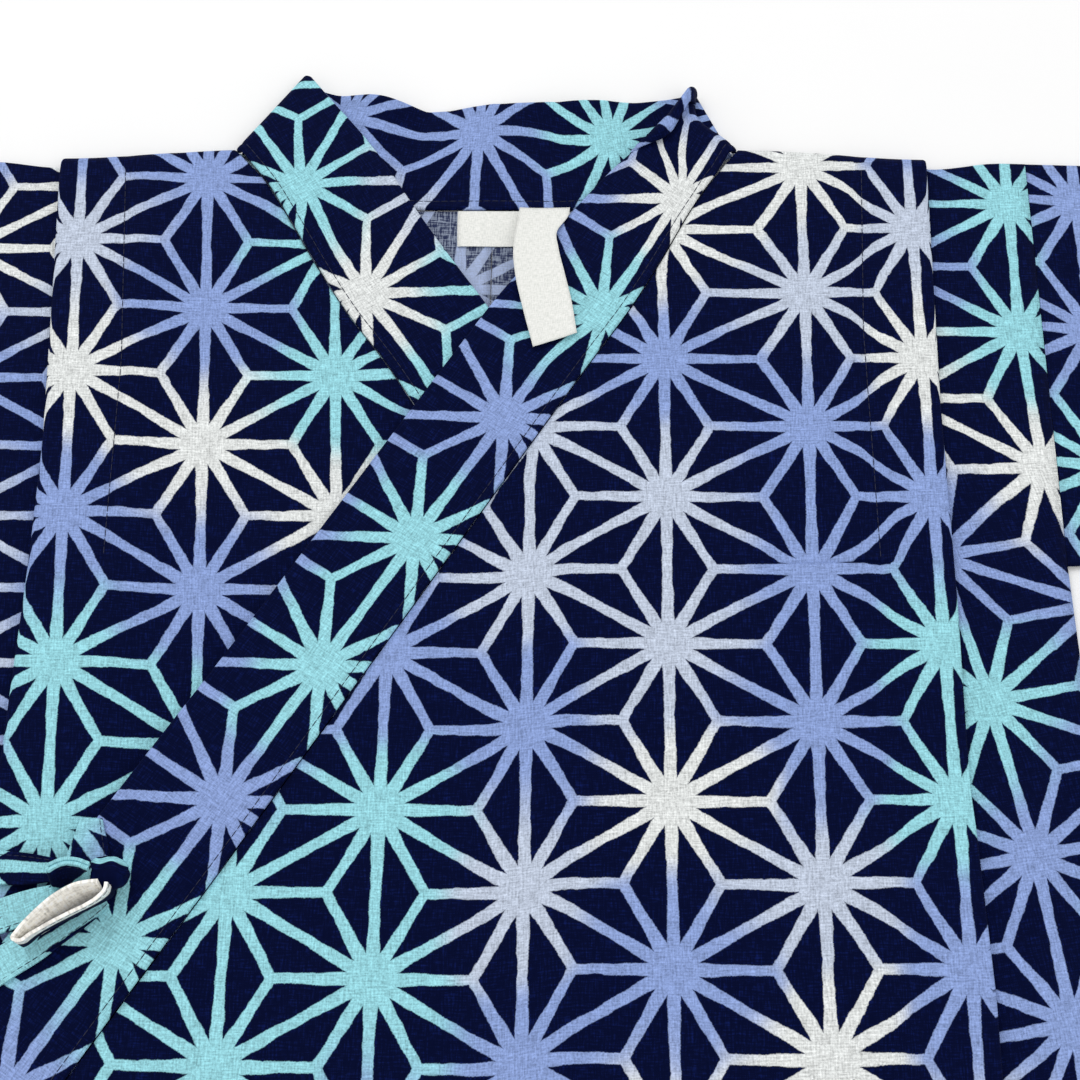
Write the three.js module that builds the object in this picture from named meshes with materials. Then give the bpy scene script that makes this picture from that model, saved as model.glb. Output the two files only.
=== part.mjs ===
// A child's jinbei jacket, laid out flat on its back with the wearer's left front on top.
// Millimetres, +Z up, the neck towards +Y and the wearer's left towards +X. The underside rests on Z = 0.
// Every plan position is first written from the middle of the shoulder line, and the group is then
// moved so that the origin is the middle of the garment's box, at the underside.
import * as THREE from 'three';

// Cloth and seams
const CLOTH = 1.0;          // wall of a single layer, with its slack
const BAND_CLOTH = 2.0;     // wall of the collar band, which is folded double over its own turnings
const SEAM_GAP = 0.3;       // what is left free between two pieces at a seam
const TIE_CLOTH = 1.2;      // wall of a tie, which is folded into four

// Body
const LENGTH = 500;         // shoulder fold to hem
const SHOULDER_HALF = 183;  // centre line to armhole seam
const HEM_SPREAD = 10;      // how much each side widens between armhole and hem
const ARMHOLE = 150;        // depth of the armhole below the shoulder
const NECK_HALF = 86;       // centre line to the foot of the collar at the shoulder
const NECK_RISE = 4;        // rise of the shoulder line towards the neck

// Shoulder tucks, which take in the width of a growing child's garment
const TUCK_STITCH = 125;    // centre line to the inner fold
const TUCK_FOLD = 148;      // centre line to the outer fold, which shows
const TUCK_RELEASE = 5;     // how much shallower the pleat is at the hem
const TUCK_TURN = 0.75;     // radius of a fold's middle surface
const LAYER = 2 * TUCK_TURN;
const TUCK_RAMP = 30;       // width over which a front climbs to its tuck
const HALF_TURN = [90, 60, 30, 0, -30, -60, -90];
const QUARTER_TURN = [0, 22, 44, 66, 88];

// Collar band
const BAND_WIDTH = 39.5;
const BAND_END = { x: -121, y: -322.5 };       // where the band's seam meets the front edge
const BAND_STRAIGHT = { x: 34, y: -78 };       // where the band's seam becomes straight
const RIGHT_PEAK = { x: 67, y: 36 };           // outer corner of the fold beside the neck, wearer's right
const LEFT_PEAK = { x: 71, y: 29.5 };          // the same on the wearer's left, which lies lower
const BACK_NECK = -18;                         // the back neck's seam, below the shoulder line
const BACK_NECK_LEVEL = 22;                    // half the width over which that seam is level
const NECK_SEAM_TOP = 3;                       // the collar's seam where it crosses the shoulder
const BACK_COLLAR_EDGE = [                     // the back collar's free edge, as x and y
  [70, 27.5], [60, 25.5], [50, 24.2], [23, 22.8], [0, 21.5],
  [-19, 20.8], [-44, 25.3], [-58, 26.5], [-66, 34],
];
const COLLAR_WAVES = [
  { x: -38, half: 16, rise: 5 },
  { x: 24, half: 26, rise: 5 },
];

// Heights of the middle of each layer above the surface that the jacket lies on
const BACK_TOP = CLOTH;                        // the back lies flat
const RIGHT_FRONT_Z = 1.8;                     // wearer's right front, under the left one
const LEFT_FRONT_Z = 4.1;                      // wearer's left front, over it
const OUTER_EDGE_Z = 1.8;                      // a front where it meets the back at the side
const TUCK_TOP_Z = 5.1;                        // a front's upper layer along its tuck
const OVER_TUCK_Z = 6.5;                       // left front where it crosses the right tuck
const COLLAR_FOLD_Z = 4.8;                     // the band where it turns over beside the neck
const LEFT_BAND_DIP = 1.7;                     // fall of the left band's free edge beside the opening
const CHEST_SLACK = 0.3;                       // half height of the left front's soft waves
const BAND_END_LIFT = 2.7;                     // rise of the left front over the lower band's end
const ROLL_FOOT = BACK_TOP + SEAM_GAP;         // where the shoulder fold meets the back
const SHOULDER_INSET = 0.4;                    // how far the back ends inside that fold

// Sleeves
const SLEEVE_LENGTH = 130;
const CUFF_DEPTH = 145;
const CUFF_RISE = 7.5;                         // how far the cuff stands open
const SHOULDER_SLOPE = 0.03;                   // fall of the shoulder line towards the cuff

// The outer ties, knotted with two loops on the wearer's right
const TIE_WIDTH = 10;
const LOOP_FLOOR = 9.9;                        // under the loops, above the flat ties
const KNOT = { x: -106, y: -253.6, z: 12.5, depth: 0.8 };
const ON_BAND_Z = 8.9;                         // a tie that lies on the left band, near its lower end
const ON_TUCK_Z = 6.6;                         // a tie that lies on the right front's tuck
const ON_FLANK_Z = 3.6;                        // a tie that lies beside that tuck

// The middle of each loop's width as x and y, and how far its upper edge leans out in x and y for each
// millimetre that it rises
const LOOPS = {
  bow_loop_left: [
    [-112.4, -252.0, 0, 0.3], [-116.0, -252.1, 0, 0.3], [-119.5, -252.9, 0, 0.3],
    [-122.6, -254.2, 0, 0.32], [-124.7, -255.6, 0, 0.36], [-125.4, -257.2, 0, 0.4],
    [-124.2, -258.4, 0, 0.45], [-121.6, -257.6, 0, 0.45], [-118.6, -255.8, 0, 0.45],
    [-115.4, -254.9, 0, 0.45], [-112.3, -254.6, 0, 0.45],
  ],
  bow_loop_lower: [
    [-107.8, -259.1, -0.05, 0.2], [-111.0, -261.0, -0.2, 0.42], [-114.8, -263.4, -0.33, 0.5],
    [-118.8, -266.0, -0.36, 0.5], [-122.8, -269.2, -0.38, 0.46], [-126.2, -272.2, -0.36, 0.34],
    [-128.8, -274.4, -0.25, 0.15], [-130.2, -276.6, -0.1, 0], [-129.2, -278.6, 0, 0],
    [-126.6, -277.6, 0, 0], [-122.6, -274.6, 0, 0], [-117.8, -271.4, 0, 0], [-112.8, -268.4, 0, 0],
    [-108.6, -266.0, 0, 0], [-105.4, -263.6, 0, 0], [-103.9, -261.2, 0, 0], [-104.3, -258.9, 0, 0],
  ],
};

// The middle of each flat tie as x, y and z, and its width
const FLAT_TIES = {
  tie_front: [
    [-112.0, -237.0, ON_BAND_Z, 6.6], [-112.2, -240.5, ON_BAND_Z, 9], [-112.0, -244.5, ON_BAND_Z, 11.5],
    [-112.6, -247.4, ON_BAND_Z, 10], [-113.6, -249.6, ON_BAND_Z, 6.4],
  ],
  tie_side: [
    [-185.5, -250.5, ON_FLANK_Z, TIE_WIDTH], [-172.0, -250.0, ON_FLANK_Z, TIE_WIDTH],
    [-159.0, -249.8, ON_FLANK_Z + 0.4, TIE_WIDTH], [-150.5, -249.8, ON_TUCK_Z, TIE_WIDTH],
    [-138.0, -250.2, ON_TUCK_Z, TIE_WIDTH], [-129.5, -250.9, ON_BAND_Z - 0.6, 9],
    [-123.5, -251.2, ON_BAND_Z, 7], [-117.6, -251.7, ON_BAND_Z, 4.5],
  ],
  tie_end_left: [
    [-111.6, -256.0, ON_BAND_Z, 4], [-117.0, -257.9, ON_BAND_Z, 6], [-122.0, -259.6, ON_BAND_Z, 8],
    [-128.0, -261.8, ON_BAND_Z, 9.5], [-138.0, -265.4, ON_BAND_Z, TIE_WIDTH],
    [-150.5, -270.0, ON_TUCK_Z, TIE_WIDTH], [-159.0, -273.3, ON_FLANK_Z + 0.4, TIE_WIDTH],
    [-168.0, -278.0, ON_FLANK_Z, TIE_WIDTH], [-177.0, -284.0, ON_FLANK_Z, TIE_WIDTH],
  ],
  tie_end_lower: [
    [-107.0, -259.6, ON_BAND_Z, 4.5], [-110.6, -262.6, ON_BAND_Z, 6], [-115.0, -265.6, ON_BAND_Z, 7.5],
    [-120.0, -269.0, ON_BAND_Z, 8.5], [-126.5, -273.4, ON_BAND_Z, TIE_WIDTH],
    [-133.5, -278.2, ON_BAND_Z, TIE_WIDTH], [-141.0, -283.4, ON_BAND_Z, TIE_WIDTH],
  ],
};

// Sewn-in labels, both bare, in the back of the neck
const LABEL_CLOTH = 0.5;
const BRAND_LABEL = { width: 25.6, top: BACK_NECK - 0.6, bottom: -34.5, z: 1.55 };
const CARE_LABEL = [
  { x: 17.2, y: -18.6, z: 3.4, lean: [1, 0, 0.13], width: 14.5 },
  { x: 17.3, y: -22.0, z: 3.9, lean: [1, 0, 0.14], width: 14.5 },
  { x: 17.6, y: -30.0, z: 4.8, lean: [1, 0.04, 0.1], width: 14.5 },
  { x: 18.3, y: -42.0, z: 5.6, lean: [1, 0.1, 0.07], width: 14.5 },
  { x: 19.4, y: -54.0, z: 6.6, lean: [1, 0.2, 0], width: 14.5 },
  { x: 20.6, y: -63.0, z: 6.7, lean: [1, 0.3, 0], width: 14.5 },
  { x: 21.9, y: -72.3, z: 6.8, lean: [1, 0.37, 0], width: 14.5 },
];

const NAVY = new THREE.Color(0.012, 0.02, 0.085);
const LABEL_WHITE = new THREE.Color(0.86, 0.86, 0.84);
const cloth = (color, roughness) => new THREE.MeshStandardMaterial({ color, roughness, metalness: 0 });
const printedCotton = () => cloth(NAVY, 0.9);
const labelCloth = () => cloth(LABEL_WHITE, 0.7);

const mix = (a, b, t) => a + (b - a) * t;
const range = (count) => Array.from({ length: count }, (_, i) => i);
const steps = (a, b, count) => range(count + 1).map((i) => mix(a, b, i / count));

/** 0 before a, 1 after b, and smooth between them; a may be the larger. */
function ease(a, b, x) {
  const t = Math.min(1, Math.max(0, (x - a) / (b - a)));
  return t * t * (3 - 2 * t);
}

/** A value read off a table of [place, value] rows whose places go down. */
function along(rows, place) {
  const next = rows.findIndex(([at]) => at <= place);
  if (next <= 0) return next === 0 ? rows[0][1] : rows[rows.length - 1][1];
  const [[a, from], [b, to]] = [rows[next - 1], rows[next]];
  return mix(from, to, (place - a) / (b - a));
}

/** A mesh geometry from points and triangles, with its faces pointing out. */
function solid(points, triangles) {
  let volume = 0;
  for (const [a, b, c] of triangles) {
    volume += points[a].dot(new THREE.Vector3().crossVectors(points[b], points[c]));
  }
  const index = triangles.flatMap(([a, b, c]) => (volume > 0 ? [a, b, c] : [a, c, b]));
  const geometry = new THREE.BufferGeometry();
  const numbers = points.flatMap((p) => p.toArray());
  geometry.setAttribute('position', new THREE.Float32BufferAttribute(numbers, 3));
  geometry.setIndex(index);
  geometry.computeVertexNormals();
  return geometry;
}

/** The two triangles of each cell in a grid of point numbers. */
function cells(number, rows, columns) {
  const triangles = [];
  for (let i = 0; i + 1 < rows; i += 1) {
    for (let j = 0; j + 1 < columns; j += 1) {
      const [a, b, c, d] = [number(i, j), number(i, j + 1), number(i + 1, j + 1), number(i + 1, j)];
      triangles.push([a, b, c], [a, c, d]);
    }
  }
  return triangles;
}

/** A wall of even thickness on a grid of points that run through its middle. */
function wall(grid, thickness) {
  const [rows, columns] = [grid.length, grid[0].length];
  const normal = (i, j) => {
    const acrossStep = grid[i][Math.min(j + 1, columns - 1)].clone().sub(grid[i][Math.max(j - 1, 0)]);
    const alongStep = grid[Math.min(i + 1, rows - 1)][j].clone().sub(grid[Math.max(i - 1, 0)][j]);
    return acrossStep.cross(alongStep).normalize();
  };
  const side = (offset) => grid.flatMap((row, i) => row.map((p, j) => (
    p.clone().addScaledVector(normal(i, j), offset))));
  const points = [...side(thickness / 2), ...side(-thickness / 2)];
  const upper = (i, j) => i * columns + j;
  const lower = (i, j) => rows * columns + upper(i, j);
  const rim = [
    ...range(columns).map((j) => [0, j]),
    ...range(rows - 1).map((i) => [i + 1, columns - 1]),
    ...range(columns - 1).map((j) => [rows - 1, columns - 2 - j]),
    ...range(rows - 2).map((i) => [rows - 2 - i, 0]),
  ];
  const edge = rim.flatMap(([i, j], k) => {
    const [m, n] = rim[(k + 1) % rim.length];
    return [[upper(i, j), lower(i, j), lower(m, n)], [upper(i, j), lower(m, n), upper(m, n)]];
  });
  const under = cells(lower, rows, columns).map(([a, b, c]) => [a, c, b]);
  return solid(points, [...cells(upper, rows, columns), ...under, ...edge]);
}

/** A tube of cloth through rings, each a closed loop of points in one plane of constant x. */
function tube(rings, thickness) {
  const size = rings[0].length;
  const offsetRing = (ring, offset) => ring.map((p, k) => {
    const tangent = ring[(k + 1) % size].clone().sub(ring[(k + size - 1) % size]);
    return p.clone().addScaledVector(new THREE.Vector3(0, tangent.z, -tangent.y).normalize(), offset);
  });
  const points = [thickness / 2, -thickness / 2].flatMap((offset) => (
    rings.flatMap((ring) => offsetRing(ring, offset))));
  const outer = (i, k) => i * size + (k % size);
  const inner = (i, k) => rings.length * size + outer(i, k);
  const shell = cells(outer, rings.length, size + 1);
  const lining = cells(inner, rings.length, size + 1).map(([a, b, c]) => [a, c, b]);
  const last = rings.length - 1;
  const ends = range(size).flatMap((k) => [
    [outer(0, k), inner(0, k + 1), outer(0, k + 1)],
    [outer(0, k), inner(0, k), inner(0, k + 1)],
    [outer(last, k), outer(last, k + 1), inner(last, k + 1)],
    [outer(last, k), inner(last, k + 1), inner(last, k)],
  ]);
  return solid(points, [...shell, ...lining, ...ends]);
}

/** A flat layer of cloth cut to an outline. */
function flatLayer(outline, bottom, thickness) {
  const shape = new THREE.Shape(outline.map(([x, y]) => new THREE.Vector2(x, y)));
  const layer = new THREE.ExtrudeGeometry(shape, { depth: thickness, bevelEnabled: false });
  return layer.translate(0, 0, bottom);
}

/** The same geometry on the other side of the centre line. */
function mirrored(geometry) {
  const copy = geometry.index ? geometry.toNonIndexed() : geometry.clone();
  copy.scale(-1, 1, 1);
  const position = copy.getAttribute('position');
  for (let i = 0; i < position.count; i += 3) {
    const [b, c] = [1, 2].map((k) => new THREE.Vector3().fromBufferAttribute(position, i + k));
    position.setXYZ(i + 1, c.x, c.y, c.z);
    position.setXYZ(i + 2, b.x, b.y, b.z);
  }
  return copy;
}

// Where the collar is sewn to a front, from the shoulder down, and its free edge beside that on each side.
// x grows towards that front's own side.
const NECK_SEAM = [[NECK_HALF, NECK_SEAM_TOP], [78, -6], [69, -20], [57, -41], [46, -60]];
const RIGHT_FREE_EDGE = [[RIGHT_PEAK.x, RIGHT_PEAK.y], [55, 19], [43, 2], [27, -19], [14, -38]];
const LEFT_FREE_EDGE = [[LEFT_PEAK.x, LEFT_PEAK.y], [59, 14], [44.5, 0.5], [27.5, -19], [14, -38]];
const bandRun = new THREE.Vector2(BAND_END.x - BAND_STRAIGHT.x, BAND_END.y - BAND_STRAIGHT.y).normalize();
const STRAIGHT_SECTIONS = steps(0, 1, 10).map((t) => {
  const [seamX, seamY] = [mix(BAND_STRAIGHT.x, BAND_END.x, t), mix(BAND_STRAIGHT.y, BAND_END.y, t)];
  return { seamX, seamY, freeX: seamX + bandRun.y * BAND_WIDTH, freeY: seamY - bandRun.x * BAND_WIDTH };
});
const bandSections = (freeEdge) => [
  ...NECK_SEAM.map(([seamX, seamY], i) => ({ seamX, seamY, freeX: freeEdge[i][0], freeY: freeEdge[i][1] })),
  ...STRAIGHT_SECTIONS,
];
const seamRows = bandSections(RIGHT_FREE_EDGE).map((s) => [s.seamY, s.seamX]);

const shoulderY = (x) => (
  NECK_RISE * (1 - ease(NECK_HALF, TUCK_FOLD, x)) - SHOULDER_SLOPE * Math.max(0, x - TUCK_FOLD));
/** How much of the tuck's fall is left, beside the tuck, in the layer that runs on to the sleeve. */
const tuckFall = (x) => 1 - ease(TUCK_FOLD + 2, TUCK_FOLD + 27, x);
const below = (y) => Math.max(0, (-ARMHOLE - y) / (LENGTH - ARMHOLE));
const sideX = (y) => SHOULDER_HALF + HEM_SPREAD * below(y);
const tuckStitchX = (y) => TUCK_STITCH + TUCK_RELEASE * below(y);

/** Height of the wearer's right front, the lower one; x grows towards its own side. */
function rightFrontZ(x, y) {
  const nearTuck = ease(TUCK_STITCH - TUCK_RAMP, TUCK_STITCH - 4, x);
  const nearShoulder = 0.5 * ease(-62, -12, y);
  return mix(RIGHT_FRONT_Z, TUCK_TOP_Z, Math.max(nearTuck, nearShoulder));
}

/** Height of the wearer's left front, the upper one, with its slack across the chest. */
function leftFrontZ(x, y) {
  const ownTuck = (TUCK_TOP_Z - LEFT_FRONT_Z) * ease(TUCK_STITCH - TUCK_RAMP, TUCK_STITCH - 4, x);
  const otherTuck = (OVER_TUCK_Z - LEFT_FRONT_Z) * ease(-70, -114, x);
  const slack = (1 - ease(80, 105, x)) * ease(-95, -60, x) * (1 + Math.sin(x / 21 + y / 60));
  return LEFT_FRONT_Z + ownTuck + otherTuck + CHEST_SLACK * slack;
}

/** How far the end of the lower collar band lifts the left front's tuck above it. */
const overBandEnd = (x, y) => (
  BAND_END_LIFT * ease(92, 112, x) * (1 - ease(160, 179, x)) * ease(-372, -330, y) * ease(-205, -242, y));
const noLift = () => 0;

/** One front: a section across it at each height, carried over the shoulder fold and pleated at its tuck. */
function front(topZ, lift) {
  const section = (y, edgeX) => {
    const [stitch, side] = [tuckStitchX(y), sideX(y)];
    const crown = steps(edgeX, TUCK_FOLD - TUCK_TURN, 12).map((x) => [x, topZ(x, y)]);
    const folded = (x, way, z) => (degrees) => {
      const turn = THREE.MathUtils.degToRad(degrees);
      return [x + way * TUCK_TURN * (1 - Math.cos(turn)), z - TUCK_TURN * (1 - Math.sin(turn))];
    };
    const outerFold = HALF_TURN.slice(1).map(folded(TUCK_FOLD, -1, TUCK_TOP_Z));
    const innerFold = HALF_TURN.map(folded(stitch, 1, TUCK_TOP_Z - LAYER));
    const lowest = TUCK_TOP_Z - 2 * LAYER;
    const flank = steps(0, 1, 4).slice(1).map((t) => (
      [mix(stitch + TUCK_TURN, side, t), mix(lowest, OUTER_EDGE_Z, t)]));
    return [crown, [...outerFold, ...innerFold], flank];
  };
  const hemRows = steps(-LENGTH, BAND_END.y, 7);
  const seamHeights = STRAIGHT_SECTIONS.map((s) => s.seamY).reverse().slice(1);
  const neckHeights = NECK_SEAM.slice(1).map(([, seamY]) => seamY).reverse();
  const edge = (y) => along(seamRows, y) + (y > BAND_END.y ? SEAM_GAP / -bandRun.y : 0);
  const flatRow = (y) => (
    section(y, edge(y)).flat().map(([x, z]) => new THREE.Vector3(x, y, z + lift(x, y))));
  const shoulderRow = (degrees) => {
    const turn = THREE.MathUtils.degToRad(degrees);
    const neckZ = topZ(NECK_HALF, 0);
    const rolled = (x, z, outerZ) => {
      const foldY = shoulderY(x) - (outerZ - ROLL_FOOT) - CLOTH / 2;
      const reach = z - ROLL_FOOT;
      return new THREE.Vector3(x, foldY + reach * Math.sin(turn), ROLL_FOOT + reach * Math.cos(turn));
    };
    const edgeY = rolled(NECK_HALF, neckZ, neckZ).y;
    const [crown, pleat, flank] = section(0, edge(edgeY));
    return [
      ...crown.map(([x, z]) => rolled(x, z, z)),
      ...pleat.map(([x, z]) => rolled(x, z, TUCK_TOP_Z)),
      ...flank.map(([x, z]) => rolled(x, z, mix(z, TUCK_TOP_Z, tuckFall(x)))),
    ];
  };
  const flat = [...hemRows, ...seamHeights, ...neckHeights].map(flatRow);
  return wall([...flat, ...QUARTER_TURN.map(shoulderRow)], CLOTH);
}

/** One half of the collar in front, turned over beside the neck; dip lowers its free edge there. */
function frontBand(freeEdge, panelZ, dip) {
  const [fold, ...rest] = bandSections(freeEdge);
  const foldLine = new THREE.Vector2(fold.freeX - fold.seamX, fold.freeY - fold.seamY).normalize();
  const outward = new THREE.Vector3(foldLine.y, -foldLine.x, 0);
  const footZ = BAND_CLOTH + SEAM_GAP;
  const radius = COLLAR_FOLD_Z - footZ;
  const onPanel = (x, y) => panelZ(x, y) + (BAND_CLOTH - CLOTH) / 2;
  const across = (s, point) => steps(0, 1, 4).map((t) => (
    point(mix(s.seamX, s.freeX, t), mix(s.seamY, s.freeY, t), t)));
  const sections = rest.reverse().map((s) => across(s, (x, y, t) => {
    const besideOpening = ease(-76, -55, s.seamY) * ease(-20, -41, s.seamY);
    const z = mix(onPanel(x, y), COLLAR_FOLD_Z, ease(-62, 4, s.seamY)) - dip * t * besideOpening;
    return new THREE.Vector3(x, y, z);
  }));
  const turned = QUARTER_TURN.map((degrees) => {
    const turn = THREE.MathUtils.degToRad(degrees);
    const inset = radius * (Math.sin(turn) - 1) - BAND_CLOTH / 2;
    return across(fold, (x, y) => (
      new THREE.Vector3(x, y, footZ + radius * Math.cos(turn)).addScaledVector(outward, inset)));
  });
  return wall([...sections, ...turned], BAND_CLOTH);
}

/** The back neck's seam, level behind the neck and rising to the shoulders. */
function neckSeamY(x) {
  const climb = ease(BACK_NECK_LEVEL, NECK_HALF + 6, Math.abs(x)) ** 1.15;
  return mix(BACK_NECK, NECK_SEAM_TOP, climb);
}

/** The back of the collar, flat at its seam and at its ends, with two soft waves in its free edge. */
function backBand() {
  const sections = steps(-1, 1, 24).map((share) => {
    const peak = share < 0 ? RIGHT_PEAK : LEFT_PEAK;
    const [seamX, freeX] = [share * (NECK_HALF - 2), share * (peak.x - 1)];
    const freeY = along(BACK_COLLAR_EDGE, freeX);
    const wave = ({ x, half, rise }) => rise * Math.max(0, 1 - ((freeX - x) / half) ** 2) ** 2;
    const lift = COLLAR_WAVES.reduce((sum, row) => sum + wave(row), 0);
    return steps(0, 1, 6).map((t) => {
      const z = BAND_CLOTH / 2 + lift * t * t;
      return new THREE.Vector3(mix(seamX, freeX, t), mix(neckSeamY(seamX), freeY, t), z);
    });
  });
  return wall(sections, BAND_CLOTH);
}

/** One half of the back, in the flat, on the +x side. */
function backHalf() {
  const neck = steps(0, NECK_HALF - 2, 14).map((x) => (
    [Math.max(x, SEAM_GAP / 2), neckSeamY(x) - SEAM_GAP * 1.3]));
  const inside = [NECK_HALF - 1, 110, 130, TUCK_FOLD - 2].map((x) => [x, shoulderY(x) - SHOULDER_INSET]);
  const outside = [TUCK_FOLD + 1, 155, 162, 169, 176, SHOULDER_HALF - SEAM_GAP / 2].map((x) => (
    [x, shoulderY(x) - SHOULDER_INSET - (TUCK_TOP_Z - OUTER_EDGE_Z) * tuckFall(x)]));
  const side = [[sideX(-ARMHOLE) - SEAM_GAP / 2, -ARMHOLE], [sideX(-LENGTH), -LENGTH]];
  const outline = [[SEAM_GAP / 2, -LENGTH], ...neck, ...inside, ...outside, ...side];
  return flatLayer(outline.reverse(), 0, CLOTH);
}

/** One sleeve: a tube pressed flat where it is sewn to the body and standing a little open at the cuff. */
function sleeve() {
  const [low, turn] = [CLOTH / 2, (OUTER_EDGE_Z - CLOTH / 2) / 2];
  const start = SHOULDER_HALF + SEAM_GAP / 2;
  const rings = [0, 0.12, 0.28, 0.46, 0.64, 0.82, 1].map((share) => {
    const x = start + share * SLEEVE_LENGTH;
    const top = shoulderY(x) - CLOTH / 2;
    const bottom = mix(-ARMHOLE, shoulderY(x) - CUFF_DEPTH, share) + CLOTH / 2;
    const rise = CUFF_RISE * ease(0, 0.95, share);
    const end = (centre, from) => [0, 45, 90, 135].map((degrees) => {
      const angle = THREE.MathUtils.degToRad(from + degrees);
      return new THREE.Vector3(x, centre + turn * Math.cos(angle), low + turn + turn * Math.sin(angle));
    });
    const under = steps(bottom + turn, top - turn, 7).slice(1, -1).map((y) => new THREE.Vector3(x, y, low));
    const over = steps(top - turn, bottom + turn, 12).slice(1, -1).map((y) => {
      const arch = Math.sin((Math.PI * (y - bottom - turn)) / (top - bottom - 2 * turn)) ** 0.8;
      return new THREE.Vector3(x, y, OUTER_EDGE_Z + rise * arch);
    });
    const pole = (y, z) => new THREE.Vector3(x, y, z);
    return [
      pole(bottom + turn, low), ...under, ...end(top - turn, -90), pole(top - turn, OUTER_EDGE_Z), ...over,
      ...end(bottom + turn, 90),
    ];
  });
  return tube(rings, CLOTH);
}

/** A strip of cloth along a route of { x, y, z, lean, width } rows; lean is the direction of its width. */
function strip(route, thickness, columns = 1) {
  const grid = route.map(({ x, y, z, lean, width }) => {
    const half = new THREE.Vector3(...lean).normalize().multiplyScalar(width / 2);
    return steps(-1, 1, columns).map((t) => new THREE.Vector3(x, y, z).addScaledVector(half, t));
  });
  return wall(grid, thickness);
}

/** A strip that lies flat: its width is level and square to its course. */
function flatStrip(rows, thickness) {
  const route = rows.map(([x, y, z, width], i) => {
    const [before, after] = [rows[Math.max(i - 1, 0)], rows[Math.min(i + 1, rows.length - 1)]];
    return { x, y, z, width, lean: [before[1] - after[1], after[0] - before[0], 0] };
  });
  return strip(route, thickness);
}

/** One loop of the bow: the tie goes out from the knot and back, standing on its edge. */
function loop(rows) {
  const route = rows.map(([x, y, leanX, leanY]) => {
    const z = LOOP_FLOOR + TIE_CLOTH / 2 + TIE_WIDTH / 2 / Math.hypot(leanX, leanY, 1);
    return { x, y, z, lean: [leanX, leanY, 1], width: TIE_WIDTH };
  });
  return strip(route, TIE_CLOTH, 2);
}

/** The knot: a flattened pebble of wrapped tie, on the band. */
function knot() {
  const profile = [
    [0, -4.1], [3.4, -4.1], [5.0, -2.9], [5.7, -0.4], [5.1, 2.4], [3.0, 3.9], [0, 4.3],
  ].map(([radius, z]) => new THREE.Vector2(radius, z));
  const pebble = new THREE.LatheGeometry(profile, 14).rotateX(Math.PI / 2).scale(1, KNOT.depth, 1);
  return pebble.translate(KNOT.x, KNOT.y, KNOT.z);
}

/** The label in the middle of the back neck, flat on the back. */
function brandLabel() {
  const { width, top, bottom, z } = BRAND_LABEL;
  return strip([top, bottom].map((y) => ({ x: 0, y, z, lean: [1, 0, 0], width })), LABEL_CLOTH);
}

const group = new THREE.Group();
const place = (name, geometry, material) => {
  const mesh = new THREE.Mesh(geometry, material);
  mesh.name = name;
  group.add(mesh);
};

group.position.y = (LENGTH - RIGHT_PEAK.y) / 2;

place('back_left', backHalf(), printedCotton());
place('back_right', mirrored(backHalf()), printedCotton());
place('front_right', mirrored(front(rightFrontZ, noLift)), printedCotton());
place('front_left', front(leftFrontZ, overBandEnd), printedCotton());
place('sleeve_left', sleeve(), printedCotton());
place('sleeve_right', mirrored(sleeve()), printedCotton());
place('collar_right', mirrored(frontBand(RIGHT_FREE_EDGE, rightFrontZ, 0)), printedCotton());
place('collar_left', frontBand(LEFT_FREE_EDGE, leftFrontZ, LEFT_BAND_DIP), printedCotton());
place('collar_back', backBand(), printedCotton());
for (const [name, rows] of Object.entries(FLAT_TIES)) {
  place(name, flatStrip(rows, TIE_CLOTH), printedCotton());
}
for (const [name, rows] of Object.entries(LOOPS)) place(name, loop(rows), printedCotton());
place('bow_knot', knot(), printedCotton());
place('label_brand', brandLabel(), labelCloth());
place('label_care', strip(CARE_LABEL, LABEL_CLOTH), labelCloth());

export default group;
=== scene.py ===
"""The looks of a child's jinbei jacket that lies flat, closed left over right and tied at one side.

Lengths are millimetres. Places are first written from the middle of the shoulder line, with y towards the
neck and x towards the wearer's left, and site() turns them into the frame's metres. Each cloth is a thin
shell along the middle of its CAD solid, sampled more finely, with its wrinkles, its hems and its print. The
shoulder line and the collar's edges follow the photograph, up to 5 mm from the solids'.
"""
import math

import bpy
import numpy as np
from mathutils import Matrix, Vector


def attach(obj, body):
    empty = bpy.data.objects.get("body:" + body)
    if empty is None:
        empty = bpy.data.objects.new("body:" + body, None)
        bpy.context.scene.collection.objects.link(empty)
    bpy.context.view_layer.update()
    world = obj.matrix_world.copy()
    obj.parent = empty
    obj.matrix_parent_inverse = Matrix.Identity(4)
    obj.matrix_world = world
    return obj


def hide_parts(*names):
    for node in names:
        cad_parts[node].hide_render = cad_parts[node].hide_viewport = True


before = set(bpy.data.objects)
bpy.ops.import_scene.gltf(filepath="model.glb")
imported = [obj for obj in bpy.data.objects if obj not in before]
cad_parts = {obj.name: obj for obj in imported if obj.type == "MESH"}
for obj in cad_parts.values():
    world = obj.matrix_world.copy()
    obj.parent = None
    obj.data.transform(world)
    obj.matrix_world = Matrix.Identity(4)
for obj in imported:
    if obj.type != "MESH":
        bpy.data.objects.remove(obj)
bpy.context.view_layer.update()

# Camera, solved from the even print: the photograph's frame is a square of 1080 pixels
PHOTO_SIDE = 1080
FOCAL_PIXELS = 1947
SENSOR = 36.0
TILT, ROLL, TURN = math.radians(23.97), math.radians(2.08), math.radians(2.6)
CAMERA_DISTANCE = 612.75
AIM = (17.72, -143.34, 5.0)

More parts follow.
